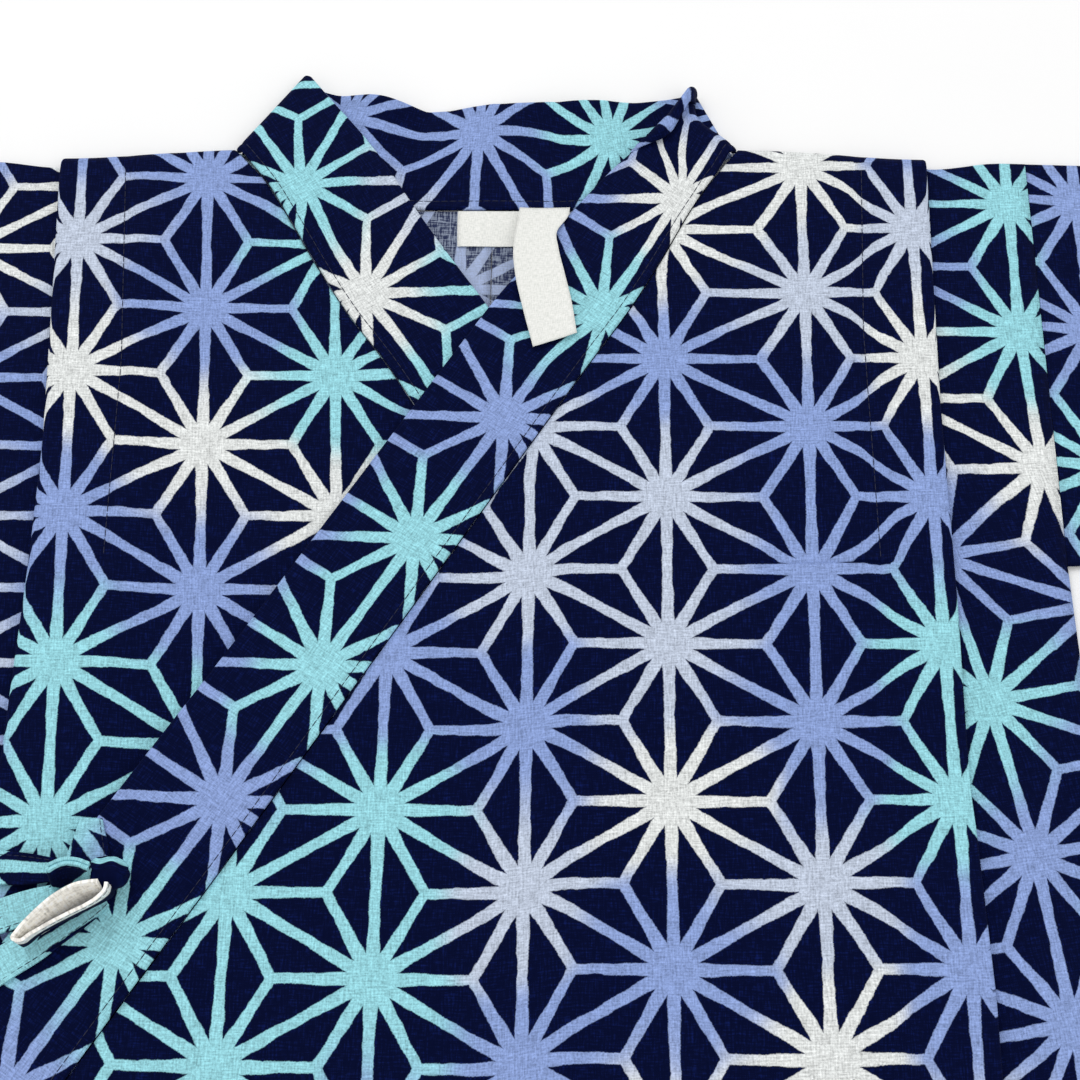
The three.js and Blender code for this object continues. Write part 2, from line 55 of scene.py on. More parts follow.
# Body, as in the CAD but for the shoulder line and the neck
LENGTH = 500
SHOULDER_HALF = 183
HEM_SPREAD = 10
ARMHOLE = 150
NECK_HALF = 86
NECK_RISE = 4
SHOULDER_TOP = 2.2
SHOULDER_SLOPE = 0.03
TUCK_STITCH = 125
TUCK_FOLD = 148
TUCK_TURN = 0.75
LAYER = 2 * TUCK_TURN
TUCK_RAMP = 30
BAND_WIDTH = 39.5
BAND_END = np.array([-121, -322.5])
BAND_STRAIGHT = np.array([34, -78])
RIGHT_PEAK = (67, 36)
LEFT_PEAK = (71, 29.5)
BACK_NECK = -18
BACK_NECK_LEVEL = 22
NECK_SEAM_TOP = 5.2
BACK_COLLAR_EDGE = [
    (70, 30), (60, 27.8), (50, 26.6), (38, 26), (28, 24.3), (22, 23.4), (14, 24.3), (6, 25.6), (-1, 26.2),
    (-8, 24.9), (-16, 23), (-24, 22.4), (-34, 24.6), (-44, 27.6), (-50, 29), (-56, 29.6), (-60, 30.8),
    (-66, 34),
]
COLLAR_WAVES = [(-38, 16, 5), (24, 26, 5)]
SEAM_GAP = 0.3
SLEEVE_LENGTH = 130
CUFF_DEPTH = 145
CUFF_RISE = 7.5

# Heights of the middle of each layer above the floor, as in the CAD
BACK_Z = 0.5
RIGHT_FRONT_Z = 1.8
LEFT_FRONT_Z = 4.1
OUTER_EDGE_Z = 1.8
TUCK_TOP_Z = 5.1
OVER_TUCK_Z = 6.5
COLLAR_FOLD_Z = 4.8
LEFT_BAND_DIP = 1.7
BAND_END_LIFT = 2.7
ROLL_FOOT = 1.3
SHOULDER_INSET = 0.4
FOLD_INSET = 0.5
BAND_FOOT = 2.3

# Cloth
CLOTH = 0.55
HEM_CLOTH = 0.95
BAND_CLOTH = 1.7
HEM_DEPTH = 20
TIE_WIDTH = 10
TIE_CLOTH = 0.95
LABEL_CLOTH = 0.22

# The hemp-leaf print: stars at the corners of even triangles, joined along the sides and to the middles
PITCH = 50.0
COLUMN = PITCH * math.sqrt(3) / 2
LINE_HALF = 1.5
SPOKE_SWELL = 0.5
DYES = {
    "P": (136, 157, 208),
    "A": (148, 209, 219),
    "W": (220, 223, 222),
    "L": (188, 198, 216),
    "C": (250, 247, 240),
}
# One letter a star, from the neck down, and one string a column, from the centre to the wearer's left
BODY_STARS = ["PPLLPL", "WPLLWP", "WLPPPL", "LWPAAP", "PPWPAP", "AAWPPA", "APPLPA", "PAPPAA"]
LEFT_BAND_STARS = ["PAAPAPWA", "PPPPAPPP"]
RIGHT_BAND_STARS = ["WAAA", "APAL"]
BACK_BAND_STARS = ["PAPP", "PPPL"]
TIE_STARS = ["AAPA", "PAAP"]
WHITE_TIE_STARS = ["CCCC", "CCWC"]

THREAD_COLOUR = (6, 9, 30)
YARN_PITCH = 0.62
YARN_ACROSS, YARN_ALONG = PITCH * 1.9, PITCH * 0.22


def ease(a, b, x):
    """0 before a, 1 after b, and smooth between them; a may be the larger."""
    t = np.clip((np.asarray(x, float) - a) / (b - a), 0, 1)
    return t * t * (3 - 2 * t)


def mix(a, b, t):
    return a + (b - a) * t


def read_down(rows, y):
    """A value read off (place, value) rows whose places go down."""
    places, values = zip(*reversed(rows))
    return np.interp(y, places, values)


def run_of(course):
    """How far along a course of points each one lies."""
    return np.concatenate([[0], np.cumsum(np.linalg.norm(np.diff(course, axis=0), axis=1))])


def unit(vectors):
    return vectors / np.maximum(np.linalg.norm(vectors, axis=-1, keepdims=True), 1e-9)


def linear(colour):
    """An sRGB colour out of 255 as linear numbers."""
    c = np.asarray(colour, float) / 255
    return np.where(c <= 0.04045, c / 12.92, ((c + 0.055) / 1.055) ** 2.4)


ORIGIN_Y = (LENGTH - RIGHT_PEAK[1]) / 2


def site(points):
    """Places in the garment's millimetres as metres in the frame."""
    return (np.asarray(points, float) + (0, ORIGIN_Y, 0)) / 1000


def ripple(x, y, seed, spread, waves=9):
    """Soft unevenness from -1 to 1, about as wide as spread."""
    rng = np.random.default_rng(seed)
    total = 0
    for _ in range(waves):
        angle, phase = rng.uniform(0, 2 * math.pi, 2)
        size = spread * rng.uniform(0.6, 1.8)
        total = total + np.sin((x * math.cos(angle) + y * math.sin(angle)) * 2 * math.pi / size + phase)
    return total / (1.6 * math.sqrt(waves))


# The print


def star_dyes(prints, stars):
    """The dye at each place of the print, from the chart of its stars, which repeats."""
    u, v = prints[..., 0], prints[..., 1]
    u = u + 0.07 * np.sin(5.1 * v + 1.3 * u) + 0.05 * np.sin(9.7 * u + 4)
    v = v + 0.07 * np.sin(4.3 * u + 2.1 * v) + 0.05 * np.sin(8.9 * v + 1)
    falling, rising = v - u / math.sqrt(3), v + u / math.sqrt(3)
    i, j = np.floor(falling), np.floor(rising)
    part_i, part_j = falling - i, rising - j
    high, low = np.maximum(part_i, part_j), np.minimum(part_i, part_j)
    corners = [
        (i, j, 1 - high),
        (i + (part_i > part_j), j + (part_j >= part_i), high - low),
        (i + 1, j + 1, low),
    ]
    chart = np.array([[linear(DYES[letter]) for letter in column] for column in stars])
    total, weight = 0, 0
    for star_i, star_j, share in corners:
        column = (star_j - star_i).astype(int)
        row = np.floor((star_i + star_j) / 2).astype(int)
        colour = chart[column % len(stars), row % len(stars[0])]
        pull = np.clip(share, 0, 1)[..., None] ** 5
        total, weight = total + colour * pull, weight + pull
    return total / weight


# Meshes


def normals_of(grid):
    across = np.gradient(grid, axis=1)
    along = np.gradient(grid, axis=0)
    return unit(np.cross(across, along))


def flipped(*grids):
    """Grids with their columns in the other order, so that the cloth faces the other way."""
    return [grid[:, ::-1] for grid in grids]


def shell_faces(number, under, ring):
    """The quads of a shell's face, wrong side and rim, from the numbers of its face's points; under is added
    for the points of the wrong side."""
    a, b, c, d = number[:-1, :-1], number[:-1, 1:], number[1:, 1:], number[1:, :-1]
    face = np.stack([a, b, c, d], -1).reshape(-1, 4)
    wrong = np.stack([d, c, b, a], -1).reshape(-1, 4) + under
    if ring:
        rims = [number[0, ::-1], number[-1]]
    else:
        rims = [np.concatenate([number[0, ::-1], number[1:, 0], number[-1, 1:], number[-2::-1, -1]])]
    edge = [np.stack([rim[:-1], rim[1:], rim[1:] + under, rim[:-1] + under], -1) for rim in rims]
    return face, wrong, np.concatenate(edge)


def shell(name, grid, prints, thickness, materials, stars, ring, drift):
    """A closed shell of cloth along a grid of points, rows by columns; its face is where across x along
    points. ring joins the last column to the first, as in a tube. materials are the face's and the wrong
    side's. drift is how far the dyes have slipped from the lines of the print."""
    rows, columns = grid.shape[:2]
    if ring:
        normal = normals_of(np.concatenate([grid[:, -2:-1], grid, grid[:, 1:2]], 1))[:, 1:-1]
    else:
        normal = normals_of(grid)
    offset = normal * np.broadcast_to(np.asarray(thickness, float), grid.shape[:2])[..., None] / 2
    kept = columns - ring
    sides = [(grid + offset)[:, :kept], (grid - offset)[:, :kept]]
    points = np.concatenate([side.reshape(-1, 3) for side in sides])
    number = np.arange(rows * kept).reshape(rows, kept)
    if ring:
        number = np.concatenate([number, number[:, :1]], 1)
    face, wrong, edge = shell_faces(number, rows * kept, ring)
    faces = np.concatenate([face, wrong, edge])
    all_numbers = np.arange(rows * columns).reshape(rows, columns)
    places = np.concatenate(shell_faces(all_numbers, rows * columns, ring))
    mesh = bpy.data.meshes.new(name)
    mesh.from_pydata(site(points).tolist(), [], faces.tolist())
    slots = np.repeat(np.array([0, 1, 0], np.int32), [len(face), len(wrong), len(edge)])
    mesh.polygons.foreach_set("material_index", slots)
    mesh.polygons.foreach_set("use_smooth", np.arange(len(faces)) < len(face) + len(wrong))
    both = np.concatenate([prints.reshape(-1, 2)] * 2)
    mesh.uv_layers.new(name="print").data.foreach_set("uv", both[places.ravel()].astype(np.float32).ravel())
    colours = np.concatenate([star_dyes(prints[:, :kept] + drift, stars).reshape(-1, 3)] * 2)
    colours = np.concatenate([colours, np.ones((len(colours), 1))], 1)
    layer = mesh.color_attributes.new("dye", "FLOAT_COLOR", "POINT")
    layer.data.foreach_set("color", colours.astype(np.float32).ravel())
    for material in materials:
        mesh.materials.append(material)
    return add(name, mesh)


def cloth(node, grid, prints, thickness, materials, slot, rests_on, held="laid", stars=BODY_STARS, ring=False,
          drift=(0, 0)):
    """The shell that stands for a CAD node, whose own solid is hidden."""
    piece = shell(node, grid, prints, thickness, materials, stars, ring, drift)
    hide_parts(node)
    return piece


def linked(name, data):
    thing = bpy.data.objects.new(name, data)
    bpy.context.scene.collection.objects.link(thing)
    return thing


def add(name, mesh):
    piece = linked(name, mesh)
    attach(piece, "root")
    return piece


def stitches(name, routes, pitch=2.9, length=2.6, radius=0.15, sides=5):
    """Stitches along routes of points, as short rounded threads half sunk in the cloth."""
    points, faces = [], []
    profile = [(-0.5, 0.35), (-0.25, 1.0), (0.25, 1.0), (0.5, 0.35)]
    for route in routes:
        route = np.asarray(route, float)
        run = run_of(route)
        for middle in np.arange(pitch / 2, run[-1], pitch):
            places = middle + np.array([-length / 2, 0, length / 2])
            ends = np.stack([np.interp(places, run, route[:, k]) for k in range(3)], 1)
            ahead = unit(ends[2] - ends[0])
            aside = unit(np.cross((0, 0, 1), ahead))
            upward = np.cross(ahead, aside)
            start = len(points)
            for place, swell in profile:
                for k in range(sides):
                    angle = 2 * math.pi * k / sides
                    ring = aside * math.cos(angle) + upward * math.sin(angle)
                    points.append(ends[1] + ahead * place * length + ring * radius * swell)
            for i in range(len(profile) - 1):
                for k in range(sides):
                    m, n = start + i * sides, (k + 1) % sides
                    faces.append((m + k, m + n, m + sides + n, m + sides + k))
            faces.append(tuple(start + k for k in reversed(range(sides))))
            faces.append(tuple(start + (len(profile) - 1) * sides + k for k in range(sides)))
    mesh = bpy.data.meshes.new(name)
    mesh.from_pydata([tuple(p) for p in site(points)], [], faces)
    mesh.polygons.foreach_set("use_smooth", np.ones(len(faces), bool))
    mesh.materials.append(THREAD)
    return add(name, mesh)


# Materials


class Tree:
    """A new material and short ways to add nodes to it."""

    def __init__(self, name):
        self.material = bpy.data.materials.new(name)
        self.material.use_nodes = True
        self.nodes = self.material.node_tree.nodes
        self.links = self.material.node_tree.links
        self.shader = self.nodes["Principled BSDF"]

    def add(self, kind, settings=(), **inputs):
        node = self.nodes.new(kind)
        for key, value in dict(settings).items():
            setattr(node, key, value)
        for key, value in inputs.items():
            self.put(node.inputs[key.replace("_", " ")], value)
        return node

    def put(self, socket, value):
        if isinstance(value, bpy.types.NodeSocket):
            self.links.new(value, socket)
        else:
            socket.default_value = value

    def surface(self, **inputs):
        """Values or links for the shader, by the names of its inputs."""
        for key, value in inputs.items():
            self.put(self.shader.inputs[key.replace("_", " ")], value)

    def scaled(self, vector, factor):
        node = self.add("ShaderNodeVectorMath", {"operation": "SCALE"})
        self.put(node.inputs[0], vector)
        self.put(node.inputs["Scale"], factor)
        return node.outputs[0]

    def relief(self, height, strength, depth):
        node = self.add("ShaderNodeBump", Height=height, Strength=strength, Distance=depth)
        return node.outputs[0]

    def math(self, operation, *values):
        node = self.add("ShaderNodeMath", {"operation": operation})
        for socket, value in zip(node.inputs, values):
            self.put(socket, value)
        return node.outputs[0]

    def blend(self, share, a, b):
        node = self.add("ShaderNodeMix", {"data_type": "RGBA", "clamp_result": True})
        self.put(node.inputs[0], share)
        self.put(node.inputs[6], a)
        self.put(node.inputs[7], b)
        return node.outputs[2]

    def remap(self, value, a, b, c=0.0, d=1.0, kind="SMOOTHSTEP"):
        node = self.add("ShaderNodeMapRange", {"interpolation_type": kind})
        for key, number in (("Value", value), ("From Min", a), ("From Max", b), ("To Min", c), ("To Max", d)):
            self.put(node.inputs[key], number)
        return node.outputs[0]

    def noise(self, vector, scale, detail, stretch=(1, 1, 1), output=0):
        mapping = self.add("ShaderNodeMapping", Vector=vector, Scale=stretch)
        node = self.add("ShaderNodeTexNoise", Vector=mapping.outputs[0], Scale=scale, Detail=detail)
        return node.outputs[output]


def colour(rgb):
    return (*(float(x) for x in linear(rgb)), 1.0)


def line_distance(tree, u, v):
    """Distance to the print's nearest line, in pitches, less what its spokes widen towards a star."""
    skew = tree.math("MULTIPLY", u, 1 / math.sqrt(3))
    part_i = tree.math("FRACT", tree.math("SUBTRACT", v, skew))
    part_j = tree.math("FRACT", tree.math("ADD", v, skew))
    high = tree.math("MAXIMUM", part_i, part_j)
    low = tree.math("MINIMUM", part_i, part_j)
    first = tree.math("SUBTRACT", 1.0, high)
    second = tree.math("SUBTRACT", high, low)
    least = tree.math("MINIMUM", tree.math("MINIMUM", first, second), low)
    most = tree.math("MAXIMUM", tree.math("MAXIMUM", first, second), low)
    middle = tree.math("SUBTRACT", tree.math("SUBTRACT", 1.0, least), most)
    side = tree.math("MULTIPLY", least, math.sqrt(3) / 2)
    spoke = tree.math("MULTIPLY", tree.math("SUBTRACT", middle, least), 0.5)
    swell = tree.remap(most, 0.45, 0.9, 0.0, SPOKE_SWELL / PITCH)
    return tree.math("SUBTRACT", tree.math("MINIMUM", side, spoke), swell)


def printed_cotton(name, wrong_side=False):
    """Navy slub cotton with the print; its wrong side shows both colours thinned by the threads, and its
    gauze is also darkened overall as painted shade for the inside of the neck.
    """
    tree = Tree(name)
    cloth = tree.add("ShaderNodeUVMap", {"uv_map": "print"}).outputs[0]
    wobble = tree.noise(cloth, 9.0, 2.0, output="Color")
    moved = tree.add("ShaderNodeVectorMath", {"operation": "MULTIPLY_ADD"})
    tree.put(moved.inputs[0], wobble)
    moved.inputs[1].default_value = (0.022, 0.022, 0)
    tree.put(moved.inputs[2], cloth)
    parts = tree.add("ShaderNodeSeparateXYZ", Vector=moved.outputs[0])
    distance = line_distance(tree, parts.outputs[0], parts.outputs[1])
    # Threads: fine across and long along, once each way
    warp = tree.noise(cloth, 1.0, 2.0, (YARN_ACROSS, YARN_ALONG, 1))
    weft = tree.noise(cloth, 1.0, 2.0, (YARN_ALONG, YARN_ACROSS, 1))
    threads = tree.math("ADD", tree.math("SUBTRACT", warp, 0.5), tree.math("SUBTRACT", weft, 0.5))
    ragged = tree.math("MULTIPLY_ADD", threads, 0.011, distance)
    half = LINE_HALF / PITCH
    ink = tree.remap(ragged, half - 0.004, half + 0.004, 1.0, 0.0)
    dye = tree.add("ShaderNodeAttribute", {"attribute_name": "dye"}).outputs["Color"]
    cloud = tree.noise(cloth, 2.2, 3.0)
    grain = tree.noise(cloth, PITCH * 1.6, 1.0)
    light = tree.math("ADD", tree.math("MULTIPLY", threads, 0.95), tree.math("MULTIPLY", cloud, 0.10))
    light = tree.math("ADD", light, tree.math("MULTIPLY", tree.math("SUBTRACT", grain, 0.5), 0.8))
    dyed = tree.scaled(dye, tree.math("ADD", light, 0.93))
    navy_light = tree.remap(tree.math("ADD", threads, tree.math("MULTIPLY", grain, 0.3)), 0.1, 0.75)
    navy = tree.blend(navy_light, colour((0, 6, 42)), colour((10, 27, 90)))
    look = tree.blend(ink, navy, dyed)
    if wrong_side:
        gauze = tree.remap(threads, -0.12, 0.16)
        # The wrong side's gauze: its own paler threads, with both colours darkened overall as painted shade
        # for the shaded inside of the neck
        gauze_with_painted_shade = tree.blend(gauze, colour((44, 52, 84)), colour((136, 146, 166)))
        lines = tree.blend(0.45, dyed, colour((188, 196, 208)))
        look = tree.blend(ink, gauze_with_painted_shade, lines)
    rough = tree.remap(threads, -0.4, 0.4, 0.92, 0.78, "LINEAR")
    yarns = tree.add("ShaderNodeSeparateXYZ", Vector=tree.scaled(cloth, PITCH))
    waves = [
        tree.math("SINE", tree.math("MULTIPLY", yarns.outputs[k], 2 * math.pi / YARN_PITCH)) for k in (0, 1)
    ]
    crossing = tree.math("MULTIPLY", waves[0], waves[1])
    weave = tree.math("ADD", tree.math("MULTIPLY", crossing, 0.35), tree.math("MULTIPLY", threads, 2.2))
    tree.surface(Base_Color=look, Roughness=rough, Specular_IOR_Level=0.06, Sheen_Weight=0.012,
                 Sheen_Roughness=0.5, Normal=tree.relief(weave, 0.35, 0.0002))
    return tree.material


def thread_cotton():
    tree = Tree("thread")
    place = tree.add("ShaderNodeTexCoord").outputs["Object"]
    streak = tree.noise(place, 2600.0, 1.0)
    look = tree.blend(streak, colour(THREAD_COLOUR), colour((26, 32, 66)))
    tree.surface(Base_Color=look, Roughness=0.75, Normal=tree.relief(streak, 0.3, 0.0001))
    return tree.material


def label_tape():
    """White woven tape, with nothing on it."""
    tree = Tree("label_tape")
    place = tree.add("ShaderNodeUVMap", {"uv_map": "print"}).outputs[0]
    fine = tree.noise(place, 1.0, 2.0, (PITCH * 0.5, PITCH * 4, 1))
    coarse = tree.noise(place, 1.0, 2.0, (PITCH * 3, PITCH * 0.6, 1))
    weave = tree.math("ADD", fine, coarse)
    look = tree.blend(tree.remap(weave, 0.7, 1.3), colour((214, 216, 211)), colour((240, 240, 236)))
    bump = tree.relief(weave, 0.4, 0.0001)
    tree.surface(Base_Color=look, Roughness=0.55, Sheen_Weight=0.1, Normal=bump)
    return tree.material


def floor_paper():
    tree = Tree("floor_paper")
    place = tree.add("ShaderNodeTexCoord").outputs["Object"]
    mottle = tree.noise(place, 6.0, 3.0)
    look = tree.blend(mottle, colour((243, 243, 243)), colour((250, 250, 250)))
    tree.surface(Base_Color=look, Roughness=0.9)
    return tree.material


FACE = printed_cotton("printed_cotton_face")
WRONG = printed_cotton("printed_cotton_wrong_side", wrong_side=True)
THREAD = thread_cotton()
TAPE = label_tape()

# Where the collar is sewn to a front, from the shoulder down, and its free edge beside that on each side
RIGHT_NECK_SEAM = np.array([(90, NECK_SEAM_TOP), (79.5, -5.5), (71, -20), (59.2, -41), (47.5, -60)])
LEFT_NECK_SEAM = np.array([(84.3, NECK_SEAM_TOP), (75.8, -6), (67.2, -20), (56.7, -41), (46, -60)])
RIGHT_FREE_EDGE = np.array([(67.9, 36.8), (52.2, 19), (39.3, 2), (26.7, -19), (14, -38)])
LEFT_FREE_EDGE = np.array([LEFT_PEAK, (59, 14), (44.5, 0.5), (27.5, -19), (14, -38)])
BAND_RUN = unit(BAND_END - BAND_STRAIGHT)
BAND_ASIDE = np.array([BAND_RUN[1], -BAND_RUN[0]])


def band_sections(neck_seam, free_edge):
    """Seam x, seam y, free x and free y down the band, finely sampled, and how far along it each lies."""
    straight = np.array([[*mix(BAND_STRAIGHT, BAND_END, t)] * 2 for t in np.linspace(0, 1, 11)])
    straight[:, 2:] += BAND_ASIDE * BAND_WIDTH
    coarse = np.concatenate([np.concatenate([neck_seam, free_edge], 1), straight])
    run = run_of(coarse[:, :2])
    places = np.linspace(0, run[-1], 190)
    fine = np.stack([np.interp(places, run, coarse[:, k]) for k in range(4)], 1)
    kernel = np.ones(9) / 9
    padded = [np.pad(column, len(kernel) // 2, mode="reflect", reflect_type="odd") for column in fine.T]
    soft = [np.convolve(column, kernel, "valid") for column in padded]
    return np.stack(soft, 1), places - run[len(neck_seam)]


LEFT_SECTIONS, LEFT_PLACES = band_sections(LEFT_NECK_SEAM, LEFT_FREE_EDGE)
RIGHT_SECTIONS, RIGHT_PLACES = band_sections(RIGHT_NECK_SEAM, RIGHT_FREE_EDGE)


def edge_x(sections, y):
    """Where a front's cloth begins, beside its band's seam."""
    seam = np.interp(y, sections[::-1, 1], sections[::-1, 0])
    return seam + np.where(y > BAND_END[1], SEAM_GAP / -BAND_RUN[1], 0)


def shoulder_y(x):
    rise = NECK_RISE * (1 - ease(NECK_HALF, TUCK_FOLD, x))
    return SHOULDER_TOP + rise - SHOULDER_SLOPE * np.maximum(0, x - TUCK_FOLD)


def tuck_fall(x):
    """How much of the tuck's fall at the shoulder is left beside it, in the layer next to the sleeve."""
    return 1 - ease(TUCK_FOLD + 2, TUCK_FOLD + 27, x)


def side_x(y):
    return SHOULDER_HALF + HEM_SPREAD * np.maximum(0, (-ARMHOLE - y) / (LENGTH - ARMHOLE))


def right_front_z(x, y):
    near_tuck = ease(TUCK_STITCH - TUCK_RAMP, TUCK_STITCH - 4, x)
    near_shoulder = 0.5 * ease(-62, -12, y)
    return mix(RIGHT_FRONT_Z, TUCK_TOP_Z, np.maximum(near_tuck, near_shoulder))


def left_front_z(x, y):
    own_tuck = (TUCK_TOP_Z - LEFT_FRONT_Z) * ease(TUCK_STITCH - TUCK_RAMP, TUCK_STITCH - 4, x)
    other_tuck = (OVER_TUCK_Z - LEFT_FRONT_Z) * ease(-70, -114, x)
    return LEFT_FRONT_Z + own_tuck + other_tuck


def over_band_end(x, y):
    """How far the left front is lifted where the right collar's end lies under it."""
    across = ease(92, 112, x) * (1 - ease(160, 179, x))
    return BAND_END_LIFT * across * ease(-372, -330, y) * ease(-205, -242, y)


def neck_pucker(sections, x, y, size):
    """How far the print is drawn about beside the neck's seam."""
    beside = ease(15, 1, x - edge_x(sections, y)) * ease(-150, -110, y)
    return size * np.sin(y / 4.4 + 1.3 * np.sin(y / 15)) * beside


# The crease across the end of a tuck's stitching, and where the print's columns and rows of stars lie
CREASE_Y = -150.3
LEFT_STAR_X = 14.9
RIGHT_STAR_X, RIGHT_STAR_Y = -139.6, -32.9
RIGHT_FLANK_STAR_X = -178
RIGHT_COLUMN_LEAN = 0.061
# How far the print has slipped sideways on the left flank, which hides part of it in the tuck
LEFT_HIDDEN = [
    (0, 54.9), (-69, 55.5), (-116, 52.4), (-146, 44.8), (-193, 32.8), (-240, 24.1), (-300, 16), (-500, 8),
]


def beside_crease(x):
    """How strong the crease at the end of a tuck's stitching is."""
    return ease(84, 100, x) * (1 - ease(124, 134, x))


def left_crown_print(x, y):
    pull = (0.8 + 3.4 * ease(-260, 0, y)) * ease(70, 100, x) * (1 - ease(118, 130, x))
    across = x - LEFT_STAR_X - pull + 2.3 * ease(118, 130, x) + neck_pucker(LEFT_SECTIONS, x, y, 0.5)
    taken_up = np.where(y > CREASE_Y, 2.2 * ease(CREASE_Y + 26, CREASE_Y, y), 0) * beside_crease(x)
    down = -y - 3.2 - 3.5 * (1 - ease(0, 30, x)) - taken_up
    return np.stack([across / PITCH, down / PITCH], -1)


def left_flank_print(x, y):
    lean = math.tan(math.radians(11)) * ease(-105, -150, y)
    across = x + read_down(LEFT_HIDDEN, y) - LEFT_STAR_X
    return np.stack([across / PITCH, (8.6 - y + lean * (x - 176)) / PITCH], -1)


def right_crown_print(x, y):
    across = x - RIGHT_STAR_X + 3 * COLUMN - RIGHT_COLUMN_LEAN * (RIGHT_STAR_Y - y)
    down = 25 + (RIGHT_STAR_Y - y) / 1.018 + neck_pucker(RIGHT_SECTIONS, -x, y, 1.1)
    return np.stack([across / PITCH, down / PITCH], -1)


def right_flank_print(x, y):
    across = x - RIGHT_FLANK_STAR_X + COLUMN - RIGHT_COLUMN_LEAN * (RIGHT_STAR_Y - y)
    return np.stack([across / PITCH, (-y - 10) / PITCH], -1)


FRONTS = {
    "front_left": {
        "height": left_front_z, "lift": 1, "way": 1, "seed": 11, "slack": 0.45, "crease": 1,
        "rests_on": ["front_right", "back_left"],
        "fold": [(0, 148.5), (-93, 146.7), (-163, 147), (-227, 146.2), (-285, 148.4), (-500, 148)],
        "stitch": [(0, 126.3), (-68, 123.4), (-147, 124.3), (-300, 127), (-500, 130)],
        "crown_print": left_crown_print, "flank_print": left_flank_print, "sections": LEFT_SECTIONS,
    },
    "front_right": {
        "height": right_front_z, "lift": 0, "way": -1, "seed": 23, "slack": 0.22, "crease": 0.35,
        "rests_on": ["back_right", "back_left"],
        "fold": [(0, 150), (-56, 146.5), (-109, 143.5), (-151, 143), (-240, 144), (-500, 147)],
        "stitch": [(0, 127.3), (-79, 121), (-159, 119.5), (-300, 124), (-500, 130)],
        "crown_print": right_crown_print, "flank_print": right_flank_print, "sections": RIGHT_SECTIONS,
    },
}
TUCK_SEWN_TO = -149
BROAD_WAVE, FINE_WAVE = 62, 21
STITCH_RISE = 0.12


def front_slack(row, x, y, edge):
    """How far a front's cloth waves up beside its neck's edge, and dips along the stitching of its tuck."""
    slack = row["slack"] * ripple(x, y, row["seed"], BROAD_WAVE) * (1 - ease(104, 132, x))
    slack = slack + 0.3 * row["slack"] * ripple(x, y, row["seed"] + 1, FINE_WAVE)
    sewn = ease(TUCK_SEWN_TO - 12, TUCK_SEWN_TO, y)
    dip = 0.45 * sewn * np.exp(-(((x - read_down(row["stitch"], y)) / 2.4) ** 2))
    return slack * ease(edge, edge + 14, x) - dip


def hemmed(y):
    """The cloth's thickness, which is more where the hem is turned up."""
    hem = 1 - ease(-LENGTH + HEM_DEPTH - 1, -LENGTH + HEM_DEPTH + 1, y)
    return mix(CLOTH, HEM_CLOTH, hem)


